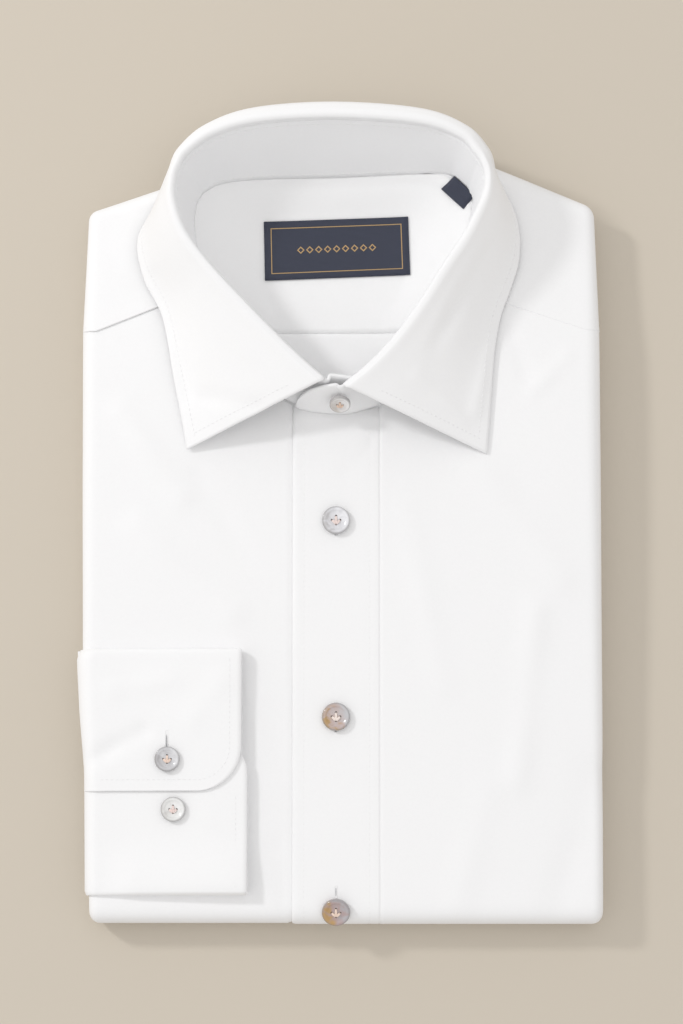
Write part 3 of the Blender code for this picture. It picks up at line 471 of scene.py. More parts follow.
def clothPlace(tree):
    return addNode(tree, "ShaderNodeUVMap", {}, uv_map="cloth").outputs["UV"]


# A node group and its input sockets, each named socket with its kind
def newGroup(name, inputs, outputs):
    group = bpy.data.node_groups.new(name, "ShaderNodeTree")
    for direction, sockets in (("INPUT", inputs), ("OUTPUT", outputs)):
        for label, kind in sockets.items():
            group.interface.new_socket(label, in_out=direction, socket_type="NodeSocket" + kind)
    return group, addNode(group, "NodeGroupInput", {}).outputs


# Poplin: crossed threads, fine slubs and a soft unevenness left by the press
def poplinGroup():
    group, given = newGroup("poplinRelief", {"Weave": "Float", "Slub": "Float", "Press": "Float"},
                            {"Shade": "Float", "Normal": "Vector"})
    place = objectPlace(group)
    warp = waves(group, place, "X", 620.0, 0.6)
    weft = waves(group, place, "Y", 980.0, 0.6)
    slub = noise(group, place, 900.0, 3.0)
    press = noise(group, place, 34.0, 2.0)
    normal = bumped(group, maths(group, "MULTIPLY", warp, weft), given["Weave"], 0.00012)
    normal = bumped(group, slub, given["Slub"], 0.0002, normal)
    normal = bumped(group, press, given["Press"], 0.0012, normal)
    addNode(group, "NodeGroupOutput", {"Shade": slub, "Normal": normal})
    return group


# Sewing thread: its twist as fine slanted ridges
def twistGroup():
    group, given = newGroup("threadTwist", {"Strength": "Float"}, {"Normal": "Vector"})
    twist = waves(group, objectPlace(group), "DIAGONAL", 1500.0)
    addNode(group, "NodeGroupOutput", {"Normal": bumped(group, twist, given["Strength"], 0.0001)})
    return group


# Mother of pearl: three tones from the lower left to the upper right, and a darker rim
def pearlGroup():
    group, given = newGroup("pearlShade", {"Centre": "Vector", "Radius": "Float", "Low Tone": "Color",
                                           "Middle Tone": "Color", "High Tone": "Color", "Rim": "Color"},
                            {"Colour": "Color", "Normal": "Vector"})
    place = objectPlace(group)
    away = addNode(group, "ShaderNodeVectorMath", {0: place, 1: given["Centre"]}, operation="SUBTRACT")
    away = away.outputs[0]
    layers = noise(group, place, 210.0, 2.5, 1.2)
    lean = addNode(group, "ShaderNodeVectorMath", {0: away, 1: (0.85, 0.35, 0.0)}, operation="DOT_PRODUCT")
    lean = maths(group, "DIVIDE", lean.outputs["Value"], given["Radius"])
    blend = maths(group, "ADD", maths(group, "MULTIPLY", lean, 0.36), layers)
    colour = mixColour(group, fade(group, blend, 0.22, 0.48), given["Low Tone"], given["Middle Tone"])
    colour = mixColour(group, fade(group, blend, 0.48, 0.78), colour, given["High Tone"])
    reach = addNode(group, "ShaderNodeVectorMath", {0: away}, operation="LENGTH").outputs["Value"]
    reach = maths(group, "DIVIDE", reach, given["Radius"])
    colour = mixColour(group, fade(group, reach, 0.86, 1.02, 0.75), colour, given["Rim"])
    addNode(group, "NodeGroupOutput", {"Colour": colour, "Normal": bumped(group, layers, 0.12, 0.0002)})
    return group


# Ribbon weave: fine cross threads, and raised thread where the mask is 1
def ribbonGroup():
    group, given = newGroup("ribbonWeave", {"Mask": "Float"}, {"Normal": "Vector"})
    weave = waves(group, clothPlace(group), "Y", 560.0, 0.4)
    relief = maths(group, "ADD", weave, maths(group, "MULTIPLY", given["Mask"], 1.5))
    addNode(group, "NodeGroupOutput", {"Normal": bumped(group, relief, 0.45, 0.0002)})
    return group


poplinRelief = poplinGroup()
threadTwist = twistGroup()
pearlShade = pearlGroup()
ribbonWeave = ribbonGroup()


def clothMaterial(name, light, dark):
    material, tree, shader = newMaterial(name)
    strengths = {"Weave": 0.16, "Slub": 0.12, "Press": 0.30}
    relief = addNode(tree, "ShaderNodeGroup", strengths, node_tree=poplinRelief)
    colour = mixColour(tree, relief.outputs["Shade"], (*dark, 1.0), (*light, 1.0))
    setInputs(tree, shader, {"Base Color": colour, "Normal": relief.outputs["Normal"], "Roughness": 0.72,
                             "Specular IOR Level": 0.3, "Sheen Weight": 0.12, "Sheen Roughness": 0.4})
    return material


def threadMaterial(name, colour):
    material, tree, shader = newMaterial(name)
    twist = addNode(tree, "ShaderNodeGroup", {"Strength": 0.4}, node_tree=threadTwist)
    setInputs(tree, shader, {"Base Color": (*colour, 1.0), "Normal": twist.outputs["Normal"],
                             "Roughness": 0.55})
    return material


def pearlMaterial(name, centre, radius, tones):
    material, tree, shader = newMaterial(name)
    low, middle, high = [(*tone, 1.0) for tone in tones]
    pearl = addNode(tree, "ShaderNodeGroup", {"Centre": centre * mm, "Radius": radius * mm, "Low Tone": low,
                                              "Middle Tone": middle, "High Tone": high,
                                              "Rim": (0.26, 0.25, 0.25, 1.0)}, node_tree=pearlShade)
    setInputs(tree, shader, {"Base Color": pearl.outputs["Colour"], "Normal": pearl.outputs["Normal"],
                             "Roughness": 0.24, "Coat Weight": 0.6, "Coat Roughness": 0.08})
    return material


# The label's border and row of lozenges, in metres from one corner and shares of the pitch
labelPattern = {
    "width": 0.0675, "height": 0.0277, "borderInset": 0.0030, "borderLine": 0.0004,
    "pitch": 0.0042, "shift": 0.4643, "rowHalf": 0.0189, "lozengeOuter": 0.42, "lozengeInner": 0.26,
}
ribbon = {"navy": (0.030, 0.036, 0.062, 1.0), "gold": (0.50, 0.33, 0.14, 1.0)}


# Mask of the label's gold thread, 1 where it shows
def goldMask(tree, size):
    u, v = addNode(tree, "ShaderNodeSeparateXYZ", {0: clothPlace(tree)}).outputs[:2]
    fromMiddleU = maths(tree, "ABSOLUTE", maths(tree, "SUBTRACT", u, size["width"] / 2.0))
    fromMiddleV = maths(tree, "ABSOLUTE", maths(tree, "SUBTRACT", v, size["height"] / 2.0))

    def panel(inset):
        inU = maths(tree, "LESS_THAN", fromMiddleU, size["width"] / 2.0 - inset)
        inV = maths(tree, "LESS_THAN", fromMiddleV, size["height"] / 2.0 - inset)
        return maths(tree, "MULTIPLY", inU, inV)

    inside = panel(size["borderInset"] + size["borderLine"])
    border = maths(tree, "SUBTRACT", panel(size["borderInset"]), inside)
    cell = maths(tree, "ADD", maths(tree, "DIVIDE", u, size["pitch"]), size["shift"])
    cell = maths(tree, "ABSOLUTE", maths(tree, "SUBTRACT", maths(tree, "FRACT", cell), 0.5))
    lozenge = maths(tree, "ADD", cell, maths(tree, "DIVIDE", fromMiddleV, size["pitch"]))
    ring = maths(tree, "MULTIPLY", maths(tree, "LESS_THAN", lozenge, size["lozengeOuter"]),
                 maths(tree, "GREATER_THAN", lozenge, size["lozengeInner"]))
    row = maths(tree, "MULTIPLY", ring, maths(tree, "LESS_THAN", fromMiddleU, size["rowHalf"]))
    return maths(tree, "ADD", border, row, True)


def ribbonMaterial(name, pattern=None):
    material, tree, shader = newMaterial(name)
    weave = addNode(tree, "ShaderNodeGroup", {}, node_tree=ribbonWeave)
    setInputs(tree, shader, {"Base Color": ribbon["navy"], "Normal": weave.outputs["Normal"],
                             "Roughness": 0.6, "Sheen Weight": 0.15})
    if pattern:
        mask = goldMask(tree, pattern)
        setInputs(tree, weave, {"Mask": mask})
        setInputs(tree, shader, {"Base Color": mixColour(tree, mask, ribbon["navy"], ribbon["gold"])})
    return material


shirting = clothMaterial("poplin", (0.93, 0.93, 0.935), (0.90, 0.90, 0.91))
insideCloth = clothMaterial("poplinInside", (0.93, 0.93, 0.935), (0.90, 0.90, 0.905))
seamThread = threadMaterial("seamThread", (0.90, 0.90, 0.905))
# Dark grey painted shade for the buttonhole slits, standing in for the shadow inside them
holeShade = threadMaterial("holeShade", (0.36, 0.36, 0.38))
print("materials made")


# Body panels, from here to the back panel
# How much of the right front lies under the placket, from 0 to 1
def underPlacket(x):
    return smooth(body["placketLeft"] - 1.7, body["placketLeft"] - 0.3, x)


def topRow(yIn, yOut):
    return {"kind": "top", "yIn": yIn, "yOut": yOut}


# How far a row has gone round the lower fold, from 0 to 1
def turned(row):
    if row["kind"] == "top":
        return 0.0
    return row["angle"] / math.pi if row["kind"] == "bend" else 1.0


# Rows round the lower fold, and then a short way along underneath
def lowerRows():
    bends = body["bends"]
    rows = [{"kind": "bend", "angle": math.pi * (i + 1) / bends} for i in range(bends)]
    rows += [{"kind": "under", "run": body["tailTurn"] * share} for share in (0.1, 0.3, 0.6, 1.0)]
    return rows


# Point of a row at x, sunk below the top layer and a depth inside a side fold
def pathPoint(row, x, share, sink, depth):
    half = body["hemHeight"] / 2.0
    if row["kind"] == "top":
        y = mix(row["yIn"], row["yOut"], share)
        return Vector((x, y, bodyTop(x, y) - sink - depth))
    if row["kind"] == "bend":
        reach = half - sink - depth
        angle = row["angle"]
        full = abs(math.sin(angle)) ** body["square"] + abs(math.cos(angle)) ** body["square"]
        reach /= full ** (1.0 / body["square"])
        return Vector((x, body["foldY"] - reach * math.sin(angle), half + reach * math.cos(angle)))
    return Vector((x, body["foldY"] + row["run"], sink + depth))


def panelGrid(rows, inner, sign, shares, arcs, sinkAt):
    grid = []
    for row, xIn in zip(rows, inner):
        y = row["yOut"] if row["kind"] == "top" else body["foldY"]
        side = sideX(y, sign)
        sinkSide = sinkAt(side, row)
        if row["kind"] == "top":
            radius = foldRadius(bodyTop(side, y) - sinkSide)
        else:
            radius = (body["hemHeight"] / 2.0 - 0.2 - sinkSide * 0.5) / 2.0
        start = side - sign * radius
        line = []
        for share in shares:
            x = mix(xIn, start, share)
            line.append(pathPoint(row, x, share, sinkAt(x, row), 0.0))
        for c in range(1, arcs + 1):
            turn = body["wrap"] * c / arcs
            x = start + sign * radius * math.sin(turn)
            line.append(pathPoint(row, x, 1.0, sinkSide, radius * (1.0 - math.cos(turn))))
        grid.append(line)
    return grid


# Rows of a front, from the yoke seam round the neck and down to the bottom fold
def frontRows(neckRows, lastOut, edgeX, steps):
    rows = []
    inner = []
    for t in spread(steps):
        spot = spline(neckRows, t)
        rows.append(topRow(spot.y, spot.z))
        inner.append(spot.x)
    startIn = neckRows[-1][1]
    for i in range(1, 61):
        t = i / 60.0
        ease = smooth(0.0, 0.45, t)
        yIn = mix(startIn, body["foldY"], t)
        slant = (lastOut - startIn) * (1.0 - ease)
        rows.append(topRow(yIn, max(body["foldY"], yIn + slant * (1.0 - t))))
        inner.append(edgeX)
    rows += lowerRows()
    inner += [edgeX] * (len(rows) - len(inner))
    return rows, inner


def bodyLift(p):
    if p.z < body["hemHeight"] * 0.7:
        return 0.0
    return creased(frontCreases, p.x, p.y) * smooth(body["hemHeight"] * 0.7, body["hemHeight"] * 0.9, p.z)


def rightSink(x, row):
    return mix(body["sink"] * (1.0 - turned(row)), body["frontDrop"], underPlacket(x))


leftNeck = [(-61.6, 106.15, 85.22), (-56.6, 95.5, 78.0), (-50.9, 84.6, 70.0), (-44.6, 74.5, 61.0),
            (-38.3, 64.8, 52.0), (-27.8, 52.6, 42.0), (-12.0, body["frontNeckY"], 34.0),
            (body["underlapX"], body["frontNeckY"] - 0.4, 28.0)]
rows, inner = frontRows(leftNeck, 28.0, body["underlapX"], 42)
shares = [i / 24.0 * 0.26 for i in range(24)] + [mix(0.26, 0.33, i / 6.0) for i in range(6)]
shares += [mix(0.33, 1.0, i / 36.0) for i in range(37)]
grid = panelGrid(rows, inner, -1.0, shares, 12, rightSink)
rightFront = clothWall("rightFront", grid, body["wall"], 1.0, lift=bodyLift)
finishPiece(rightFront, "right_front", shirting)

rightNeck = [(51.4, 106.15, 85.72), (47.2, 95.5, 78.0), (42.2, 84.6, 70.0), (37.0, 74.5, 61.0),
             (31.4, 64.8, 52.0), (24.4, 55.6, 42.0), (body["placketRight"] + 0.08, 48.9, 34.0)]
rows, inner = frontRows(rightNeck, 34.0, body["placketRight"] + 0.08, 36)
grid = panelGrid(rows, inner, 1.0, spread(56), 12, lambda x, row: 0.0)
leftFront = clothWall("leftFront", grid, body["wall"], -1.0, lift=bodyLift)
finishPiece(leftFront, "left_front", shirting)
print("fronts made")

# Placket: a folded strip with a stitched seam along each side, its top edge hollowed under the collar
placketShape = {
    "topY": 46.0, "hollow": 8.84, "hollowAt": 0.55, "wall": 0.9,
    "seamIn": 5.0, "seamDepth": 0.07, "seamWidth": 0.7,
    "leftRound": 0.30, "rightRound": 0.14, "roundWidth": 0.6, "creaseShare": 0.7,
}
rows = [topRow(0.0, 0.0)]
rows += [topRow(mix(placketShape["topY"], body["foldY"], t), 0.0) for t in spread(70)[1:]]
rows += lowerRows()
placketGrid = []
for i, row in enumerate(rows):
    line = []
    for share in spread(33):
        x = mix(body["placketLeft"], body["placketRight"], share)
        place = row
        if i == 0:
            hollow = placketShape["hollow"] * abs(share - placketShape["hollowAt"]) ** 1.6
            edge = placketShape["topY"] - 0.1 + hollow
            place = topRow(edge, edge)
        line.append(pathPoint(place, x, 0.0, 0.0, 0.0))
    placketGrid.append(line)


def placketLift(p):
    fromEdge = min(p.x - body["placketLeft"], body["placketRight"] - p.x)
    rounding = placketShape["leftRound"] if p.x < 0.0 else placketShape["rightRound"]
    fromSeam = (fromEdge - placketShape["seamIn"]) / placketShape["seamWidth"]
    seam = placketShape["seamDepth"] * math.exp(-fromSeam ** 2)
    edge = rounding * math.exp(-fromEdge / placketShape["roundWidth"])
    return bodyLift(p) * placketShape["creaseShare"] - seam - edge


placket = clothWall("frontPlacket", placketGrid, placketShape["wall"], -1.0, lift=placketLift)
finishPiece(placket, "front_placket", shirting)
print("placket made")


# Yoke
def shoulderOutline():
    start = Vector((sideX(85.3, -1.0), 85.3))
    end = Vector((sideX(85.7, 1.0), 85.7))
    corners = [Vector((row["x"], row["y"])) for row in shoulders]
    line = [start] + corners + [end]
    points = []

    def add(point, heading):
        points.append((point, Vector((heading.y, -heading.x))))

    last = start
    for i in range(1, len(line) - 1):
        into = (line[i] - line[i - 1]).normalized()
        out = (line[i + 1] - line[i]).normalized()
        turn = into.angle(out)
        radius = shoulders[i - 1]["radius"]
        cut = radius * math.tan(turn / 2.0)
        arcStart = line[i] - into * cut
        middle = arcStart + Vector((into.y, -into.x)) * radius
        runs = max(2, int((arcStart - last).length / 3.0))
        for k in range(runs):
            add(last.lerp(arcStart, k / runs), into)
        arcs = max(6, int(radius * turn / 3.0))
        for k in range(arcs):
            c = math.cos(-turn * k / arcs)
            s = math.sin(-turn * k / arcs)
            spoke = arcStart - middle
            spun = Vector((spoke.x * c - spoke.y * s, spoke.x * s + spoke.y * c))
            add(middle + spun, Vector((into.x * c - into.y * s, into.x * s + into.y * c)))
        last = line[i] + out * cut
    out = (end - last).normalized()
    for k in range(21):
        add(last.lerp(end, k / 20.0), out)
    return points


def positive(angle):
    return angle + 2.0 * math.pi if angle < -1.2 else angle


outline = shoulderOutline()
first = positive(angleOf(*outline[0][0]))
last = positive(angleOf(*outline[-1][0]))
neckFirst = positive(angleOf(-61.4, 106.2))
neckLast = angleOf(51.5, 106.2)
yokeGrid = []
for point, normal in outline:
    share = (first - positive(angleOf(*point))) / (first - last)
    rim = neckAt(mix(neckFirst, neckLast, share))
    top = yokeTop(point.x, point.y)
    radius = foldRadius(top)
    start = point + normal * radius
    line = []
    for t in spread(16):
        place = rim.lerp(start, t)
        line.append(Vector((place.x, place.y, yokeTop(place.x, place.y))))
    for c in range(1, 13):
        turn = body["wrap"] * c / 12.0
        place = start - normal * radius * math.sin(turn)
        line.append(Vector((place.x, place.y, top - radius * (1.0 - math.cos(turn)))))
    yokeGrid.append(line)


# The yoke's two seams: a point on each, its slope, and how far the edge stands up
yokeSeam = {"leftX": -114.9, "leftY": 85.22, "leftSlope": 0.393, "rightX": 119.5, "rightY": 85.72,
            "rightSlope": -0.30, "edgeLift": 0.14, "lap": 0.45}


def yokeLift(p):
    side = "left" if p.x < 0.0 else "right"
    seam = yokeSeam[side + "Y"] + (p.x - yokeSeam[side + "X"]) * yokeSeam[side + "Slope"]
    edge = yokeSeam["edgeLift"] * (1.0 - smooth(0.6, 2.0, p.y - seam)) if abs(p.x) > 40.0 else 0.0
    return edge + (creased(yokeCreases, p.x, p.y) if p.z > 18.0 else 0.0)


# The yoke's seam edges lap just over the fronts
def lapped(row, inner):
    return [a + (a - b).normalized() * yokeSeam["lap"] for a, b in zip(row, inner)]


yokeGrid.insert(0, lapped(yokeGrid[0], yokeGrid[1]))
yokeGrid.append(lapped(yokeGrid[-1], yokeGrid[-2]))
shoulderYoke = clothWall("shoulderYoke", yokeGrid, body["wall"], -1.0, lift=yokeLift)
finishPiece(shoulderYoke, "yoke", shirting)

# The inner yoke runs between two points of the neck seam, given by their angles from its centre
innerYokeShape = {"leftFrom": 203.0, "leftTo": 133.0, "rightFrom": -23.0, "rightTo": 47.0, "reach": 0.992,
                  "tabReach": 1.03, "turnUp": 1.35, "wall": 0.7}
innerYokeGrid = []
for share in spread(34):
    line = []
    low = neckAt(math.radians(mix(innerYokeShape["leftFrom"], innerYokeShape["leftTo"], share ** 0.85)))
    high = neckAt(math.radians(mix(innerYokeShape["rightFrom"], innerYokeShape["rightTo"], share ** 0.85)))
    back = neckAt(math.radians(90.0)).y
    for across in spread(60):
        chord = low.lerp(high, across)
        bow = 4.0 * across * (1.0 - across)
        y = chord.y + bow * (mix(body["yokeSeamY"], back, share) - mix(low.y, high.y, 0.5))
        x = chord.x
        if share == 0.0:
            y = body["yokeSeamY"]
        reach = neckShare(x, y)
        nearTab = smooth(22.0, 42.0, x) * smooth(132.0, 146.0, y)
        limit = mix(innerYokeShape["reach"], innerYokeShape["tabReach"], nearTab)
        if reach > 0.975 * limit:
            middle = Vector(body["centre"])
            push = mix(reach, limit, smooth(0.975 * limit, limit, reach)) if reach < limit else limit
            x, y = middle + (neckAt(angleOf(x, y)) - middle) * push
        turnUp = innerYokeShape["turnUp"] * smooth(0.90, 0.985, reach) * smooth(100.0, 118.0, y)
        line.append(Vector((x, y, dishTop(x, y) + turnUp)))
    innerYokeGrid.append(line)
innerYoke = clothWall("innerYoke", innerYokeGrid, innerYokeShape["wall"], 1.0)
finishPiece(innerYoke, "inner_yoke", insideCloth)

backRows = [(-50.0, 43.5, 85.2), (-49.0, 42.0, 74.0), (-45.0, 39.5, 63.0), (-38.0, 33.0, 54.0),
            (-31.0, 27.0, 47.5)]
grid = []
for t in spread(20):
    spot = spline(backRows, t)
    grid.append([Vector((mix(spot.x, spot.y, s), spot.z, dishTop(mix(spot.x, spot.y, s), spot.z) - 0.2))
                 for s in spread(40)])
backPanel = clothWall("backPanel", grid, 0.7, -1.0)
finishPiece(backPanel, "back_panel", insideCloth)
print("yokes and back made")


# Hidden layers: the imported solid's own form, merged and shaded smooth
def layeredBody():
    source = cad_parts["folded_layers"]
    mesh = source.data.copy()
    item = bpy.data.objects.new("foldedLayers", mesh)
    bpy.context.collection.objects.link(item)
    item.matrix_world = source.matrix_world.copy()
    bm = bmesh.new()
    bm.from_mesh(mesh)
    bmesh.ops.remove_doubles(bm, verts=bm.verts, dist=0.00001)
    bm.to_mesh(mesh)
    bm.free()
    mesh.shade_smooth()
    mesh.set_sharp_from_angle(angle=math.radians(55.0))
    return item


layers = layeredBody()
finishPiece(layers, "folded_layers", insideCloth)
print("hidden layers made")


# Collar: inward is the way in, square to the fold, at each section
inward = []
for i in range(len(collar)):
    a = collar[max(i - 1, 0)]
    b = collar[min(i + 1, len(collar) - 1)]
    along = Vector((b["foldX"] - a["foldX"], b["foldY"] - a["foldY"])).normalized()
    inward.append(Vector((along.y, -along.x)))


def seamPoint(row, into):
    return Vector((row["foldX"] + into.x * row["seamIn"], row["foldY"] + into.y * row["seamIn"],
                   row["foldZ"] - row["seamDrop"]))


leafShape = {"ridge": 2.6, "fullRidge": 5.0, "swell": 1.6, "overRun": 1.8, "overLift": 0.9, "wall": 1.2}


# One section of the leaf, from its seam up over the fold and down to its edge
def leafSection(row, side):
    fold = Vector((row["foldX"], row["foldY"], row["foldZ"]))
    edge = Vector((row["edgeX"], row["edgeY"], row["edgeZ"]))
    into = Vector((side.x, side.y, 0.0))
    fall = edge - fold
    out = Vector((fall.x, fall.y, 0.0)).normalized()
    steep = -fall.z / fall.length
    bulge = Vector((out.x * steep, out.y * steep, math.sqrt(max(0.0, 1.0 - steep * steep))))
    ridge = max(0.0, row["seamIn"] - leafShape["ridge"])
    roll = row["seamIn"] - ridge
    back = min(1.0, ridge / leafShape["fullRidge"])
    down = Vector((0.0, 0.0, -1.0))
    over = fall.normalized() * leafShape["overRun"] + bulge * leafShape["overLift"]
    points = [
        seamPoint(row, side) - down * 0.1,
        fold + into * (ridge + roll * 0.98) + down * 1.9,
        fold + into * (ridge + roll * 0.62) + down * 0.45,
        fold + into * ridge,
        fold + into * ridge * 0.5 + down * 0.9 * back + over * (1.0 - back),
    ]
    outer = fold + down * 3.0 * back
    fall = edge - outer
    for share in (0.12 - 0.09 * back, 0.3, 0.55, 0.8):
        swell = leafShape["swell"] * math.sin(math.pi * min(1.0, share * 1.15) ** 0.7)
        points.append(outer + fall * share + bulge * swell)
    points.append(edge)
    return points


sections = [leafSection(row, side) for row, side in zip(collar, inward)]
foldShare = 5.0 / 9.0
leafCols = [i / 27.0 * foldShare for i in range(27)] + [mix(foldShare, 1.0, t) for t in spread(34)]


def leafPoint(along, down):
    return spline([spline([s[k] for s in sections], along) for k in range(10)], down)


leafGrid = [[leafPoint(t, s) for s in leafCols] for t in spread(201)]
for line in leafGrid:
    for c, point in enumerate(line):
        share = smooth(30.0, 40.0, c) * (1.0 - smooth(54.0, 60.0, c))
        point.z += creased(leafCreases, point.x, point.y) * share
leaf = clothWall("collarLeaf", leafGrid, leafShape["wall"], -1.0)
finishPiece(leaf, "collar_leaf", shirting)

standFoot = body["neckHeight"] + 0.08


# The stand's foot and top at each place along it
def bandEnd(rows):
    return [(Vector((a, b, standFoot)), Vector((c, d, e))) for a, b, c, d, e in rows]


standMiddle = [(Vector((row["neckX"], row["neckY"], standFoot)), seamPoint(row, side))
               for row, side in zip(collar, inward)]
standLine = bandEnd(backBand) + standMiddle + bandEnd(frontBand)
# Shallow waves round the stand: how far along it, depth and width
standCreases = [(0.66, -0.5, 0.010), (0.50, -0.35, 0.008), (0.30, -0.35, 0.010), (0.585, 0.3, 0.012)]


def standPoint(along, up):
    base = spline([s[0] for s in standLine], along)
    top = spline([s[1] for s in standLine], along)
    return base.lerp(top, up)


standGrid = []
for t in spread(241):
    line = [standPoint(t, s) for s in spread(16)]
    push = sum(depth * math.exp(-((t - place) / width) ** 2) for place, depth, width in standCreases)
    out = Vector((line[0].x - body["centre"][0], line[0].y - body["centre"][1], 0.0)).normalized()
    standGrid.append([point + out * push * math.sin(math.pi * s) for point, s in zip(line, spread(16))])
stand = clothWall("collarStand", standGrid, 1.5, -1.0, level=True)
finishPiece(stand, "collar_stand", shirting)
print("collar made")


# Cuff and sleeve
def frontHeight(x, y):
    return bodyTop(x, y) - body["frontDrop"]


def cuffSpring(x, y):
    low = cuff["bottomSpring"] * smooth(-145.0, -172.0, y) * smooth(-110.0, -92.0, x)
    return cuff["spring"] * smooth(-104.0, -46.0, x) + low


def cuffRow(y, lift, layer, lap=0.0, cut=0.0):
    return {"y": y, "lift": lift, "layer": layer, "lap": lap, "cut": cut}


# Rows from the lapped end over the top roll, down the hidden back, round the low roll and up to the tuck
def cuffSection(steps):
    rows = []
    for turn in [math.pi / 2.0 * k / steps for k in range(steps + 1)]:
        rows.append(cuffRow(cuff["lapY"] + cuff["corner"] * (1.0 - math.cos(turn)), cuff["over"], 3.0, 1.0,
                            cuff["corner"] * (1.0 - math.sin(turn))))
    topY = cuff["topY"] - cuff["rollTop"]
    lowY = cuff["bottomY"] + cuff["rollLow"]
    for t in spread(20)[1:]:
        rows.append(cuffRow(mix(cuff["lapY"] + cuff["corner"], topY, t), cuff["over"], 3.0, 1.0))
    half = (cuff["over"] - cuff["back"]) / 2.0
    for k in range(1, 9):
        turn = math.pi * k / 8.0
        lift = cuff["back"] + half + half * math.cos(turn)
        rows.append(cuffRow(topY + cuff["rollTop"] * math.sin(turn), lift, 1.5 + 1.5 * math.cos(turn),
                            1.0 - k / 8.0))
    rows += [cuffRow(mix(topY, lowY, t), cuff["back"], 0.0) for t in spread(22)[1:]]
    half = (cuff["under"] - cuff["back"]) / 2.0
    for k in range(1, 9):
        turn = math.pi * k / 8.0
        lift = cuff["back"] + half - half * math.cos(turn)
        rows.append(cuffRow(lowY - cuff["rollLow"] * math.sin(turn), lift, 1.0 - math.cos(turn)))
    rows += [cuffRow(mix(lowY, cuff["tuckY"], t), cuff["under"], 2.0) for t in spread(16)[1:]]
    return rows


# Round the side fold the cuff's layers lie closer, and the upper ones stand out a little more
def sideLift(row, share):
    pressed = mix(cuff["sideLow"], cuff["sideTop"], smooth(-126.0, -72.0, row["y"]))
    if row["layer"] < 2.0:
        pressed = 0.1 + (pressed - 0.1) * row["layer"] / 2.6
    if row["layer"] == 2.0 and row["y"] > cuff["lapY"] + 4.0:
        pressed *= mix(1.0, 0.55, smooth(cuff["lapY"] + 4.0, cuff["lapY"] + 10.0, row["y"]))
    return mix(row["lift"], pressed + cuff["sideGap"], share)


# Point round the front's side fold, a reach away from the fold's middle line
def roundFold(start, y, reach, turn):
    middleZ = frontHeight(start, y) - foldRadius(frontHeight(sideX(y, -1.0), y))
    return Vector((start - reach * math.sin(turn), y, middleZ + reach * math.cos(turn)))


grid = []
for row in cuffSection(14):
    tucked = max(row["lap"], smooth(-118.0, -110.0, row["y"]))
    end = mix(cuff["underX"], cuff["endX"], tucked) - row["cut"]
    side = sideX(row["y"], -1.0)
    radius = foldRadius(frontHeight(side, row["y"]))
    start = side + radius + cuff["topRound"] * smooth(-67.5, -63.0, row["y"])
    line = []
    for t in spread(36):
        x = mix(end, start, t)
        lift = row["lift"] + cuffSpring(x, row["y"]) * min(1.0, row["layer"] / 2.0)
        line.append(Vector((x, row["y"], frontHeight(x, row["y"]) + lift)))
    for c in range(1, 15):
        turn = cuff["wrap"] * c / 14.0
        reach = radius + sideLift(row, smooth(0.0, math.pi / 2.0, turn))
        line.append(roundFold(start, row["y"], reach, turn))
    grid.append(line)


def cuffLift(p):
    above = p.z - frontHeight(p.x, p.y)
    if above < 2.4:
        return 0.0
    return creased(cuffCreases, p.x, p.y)


cuffPiece = clothWall("rightCuff", grid, cuff["wall"], -1.0, lift=cuffLift)
finishPiece(cuffPiece, "right_cuff", shirting)

# The sleeve goes on from the cuff's seam, out of sight behind the side fold
grid = []
for y in [mix(cuff["topY"] - 0.6, cuff["bottomY"] + 0.8, t) for t in spread(40)]:
    side = sideX(y, -1.0)
    radius = foldRadius(frontHeight(side, y))
    start = side + radius
    row = {"y": y, "lift": 3.0, "layer": 3.0 if y > cuff["lapY"] else 2.0}
    line = []
    for c in range(8):
        turn = mix(cuff["wrap"] + 0.02, math.radians(128.0), c / 7.0)
        line.append(roundFold(start, y, radius + mix(sideLift(row, 1.0), 1.6, c / 7.0), turn))
    grid.append(line)
sleeve = clothWall("rightSleeve", grid, 1.1, 1.0)
finishPiece(sleeve, "right_sleeve", shirting)
print("cuff and sleeve made")


# Label and size tab: four corners, left to right along the top and then along the free edge
labelCorners = ((-36.3, 138.1), (31.1, 140.5), (-35.7, 110.4), (32.0, 113.2))
tabCorners = ((52.6, 157.4), (61.8, 148.4), (46.8, 152.2), (56.8, 142.8))


def patchGrid(corners, downSteps, acrossSteps, lift):
    topLeft, topRight, lowLeft, lowRight = [Vector(corner) for corner in corners]
    grid = []
    for down in spread(downSteps):
        line = []
        for across in spread(acrossSteps):
            spot = topLeft.lerp(topRight, across).lerp(lowLeft.lerp(lowRight, across), down)
            line.append(Vector((spot.x, spot.y, dishTop(spot.x, spot.y) + lift(down))))
        grid.append(line)
    return grid


label = clothWall("neckLabel", patchGrid(labelCorners, 12, 28, lambda down: 0.9), 0.5, -1.0)
finishPiece(label, "neck_label", ribbonMaterial("wovenLabel", labelPattern))


def tabLift(down):
    return mix(3.4, 1.5, smooth(0.0, 0.6, down))


tab = clothWall("sizeTab", patchGrid(tabCorners, 8, 8, tabLift), 0.9, -1.0)
finishPiece(tab, "size_tab", ribbonMaterial("wovenTab"))
print("label and tab made")


# Stitches: small raised threads on a piece's surface, each place its middle, run and normal
stitchForm = ((-0.5, 0.25), (-0.3, 0.9), (0.0, 1.0), (0.3, 0.9), (0.5, 0.25))


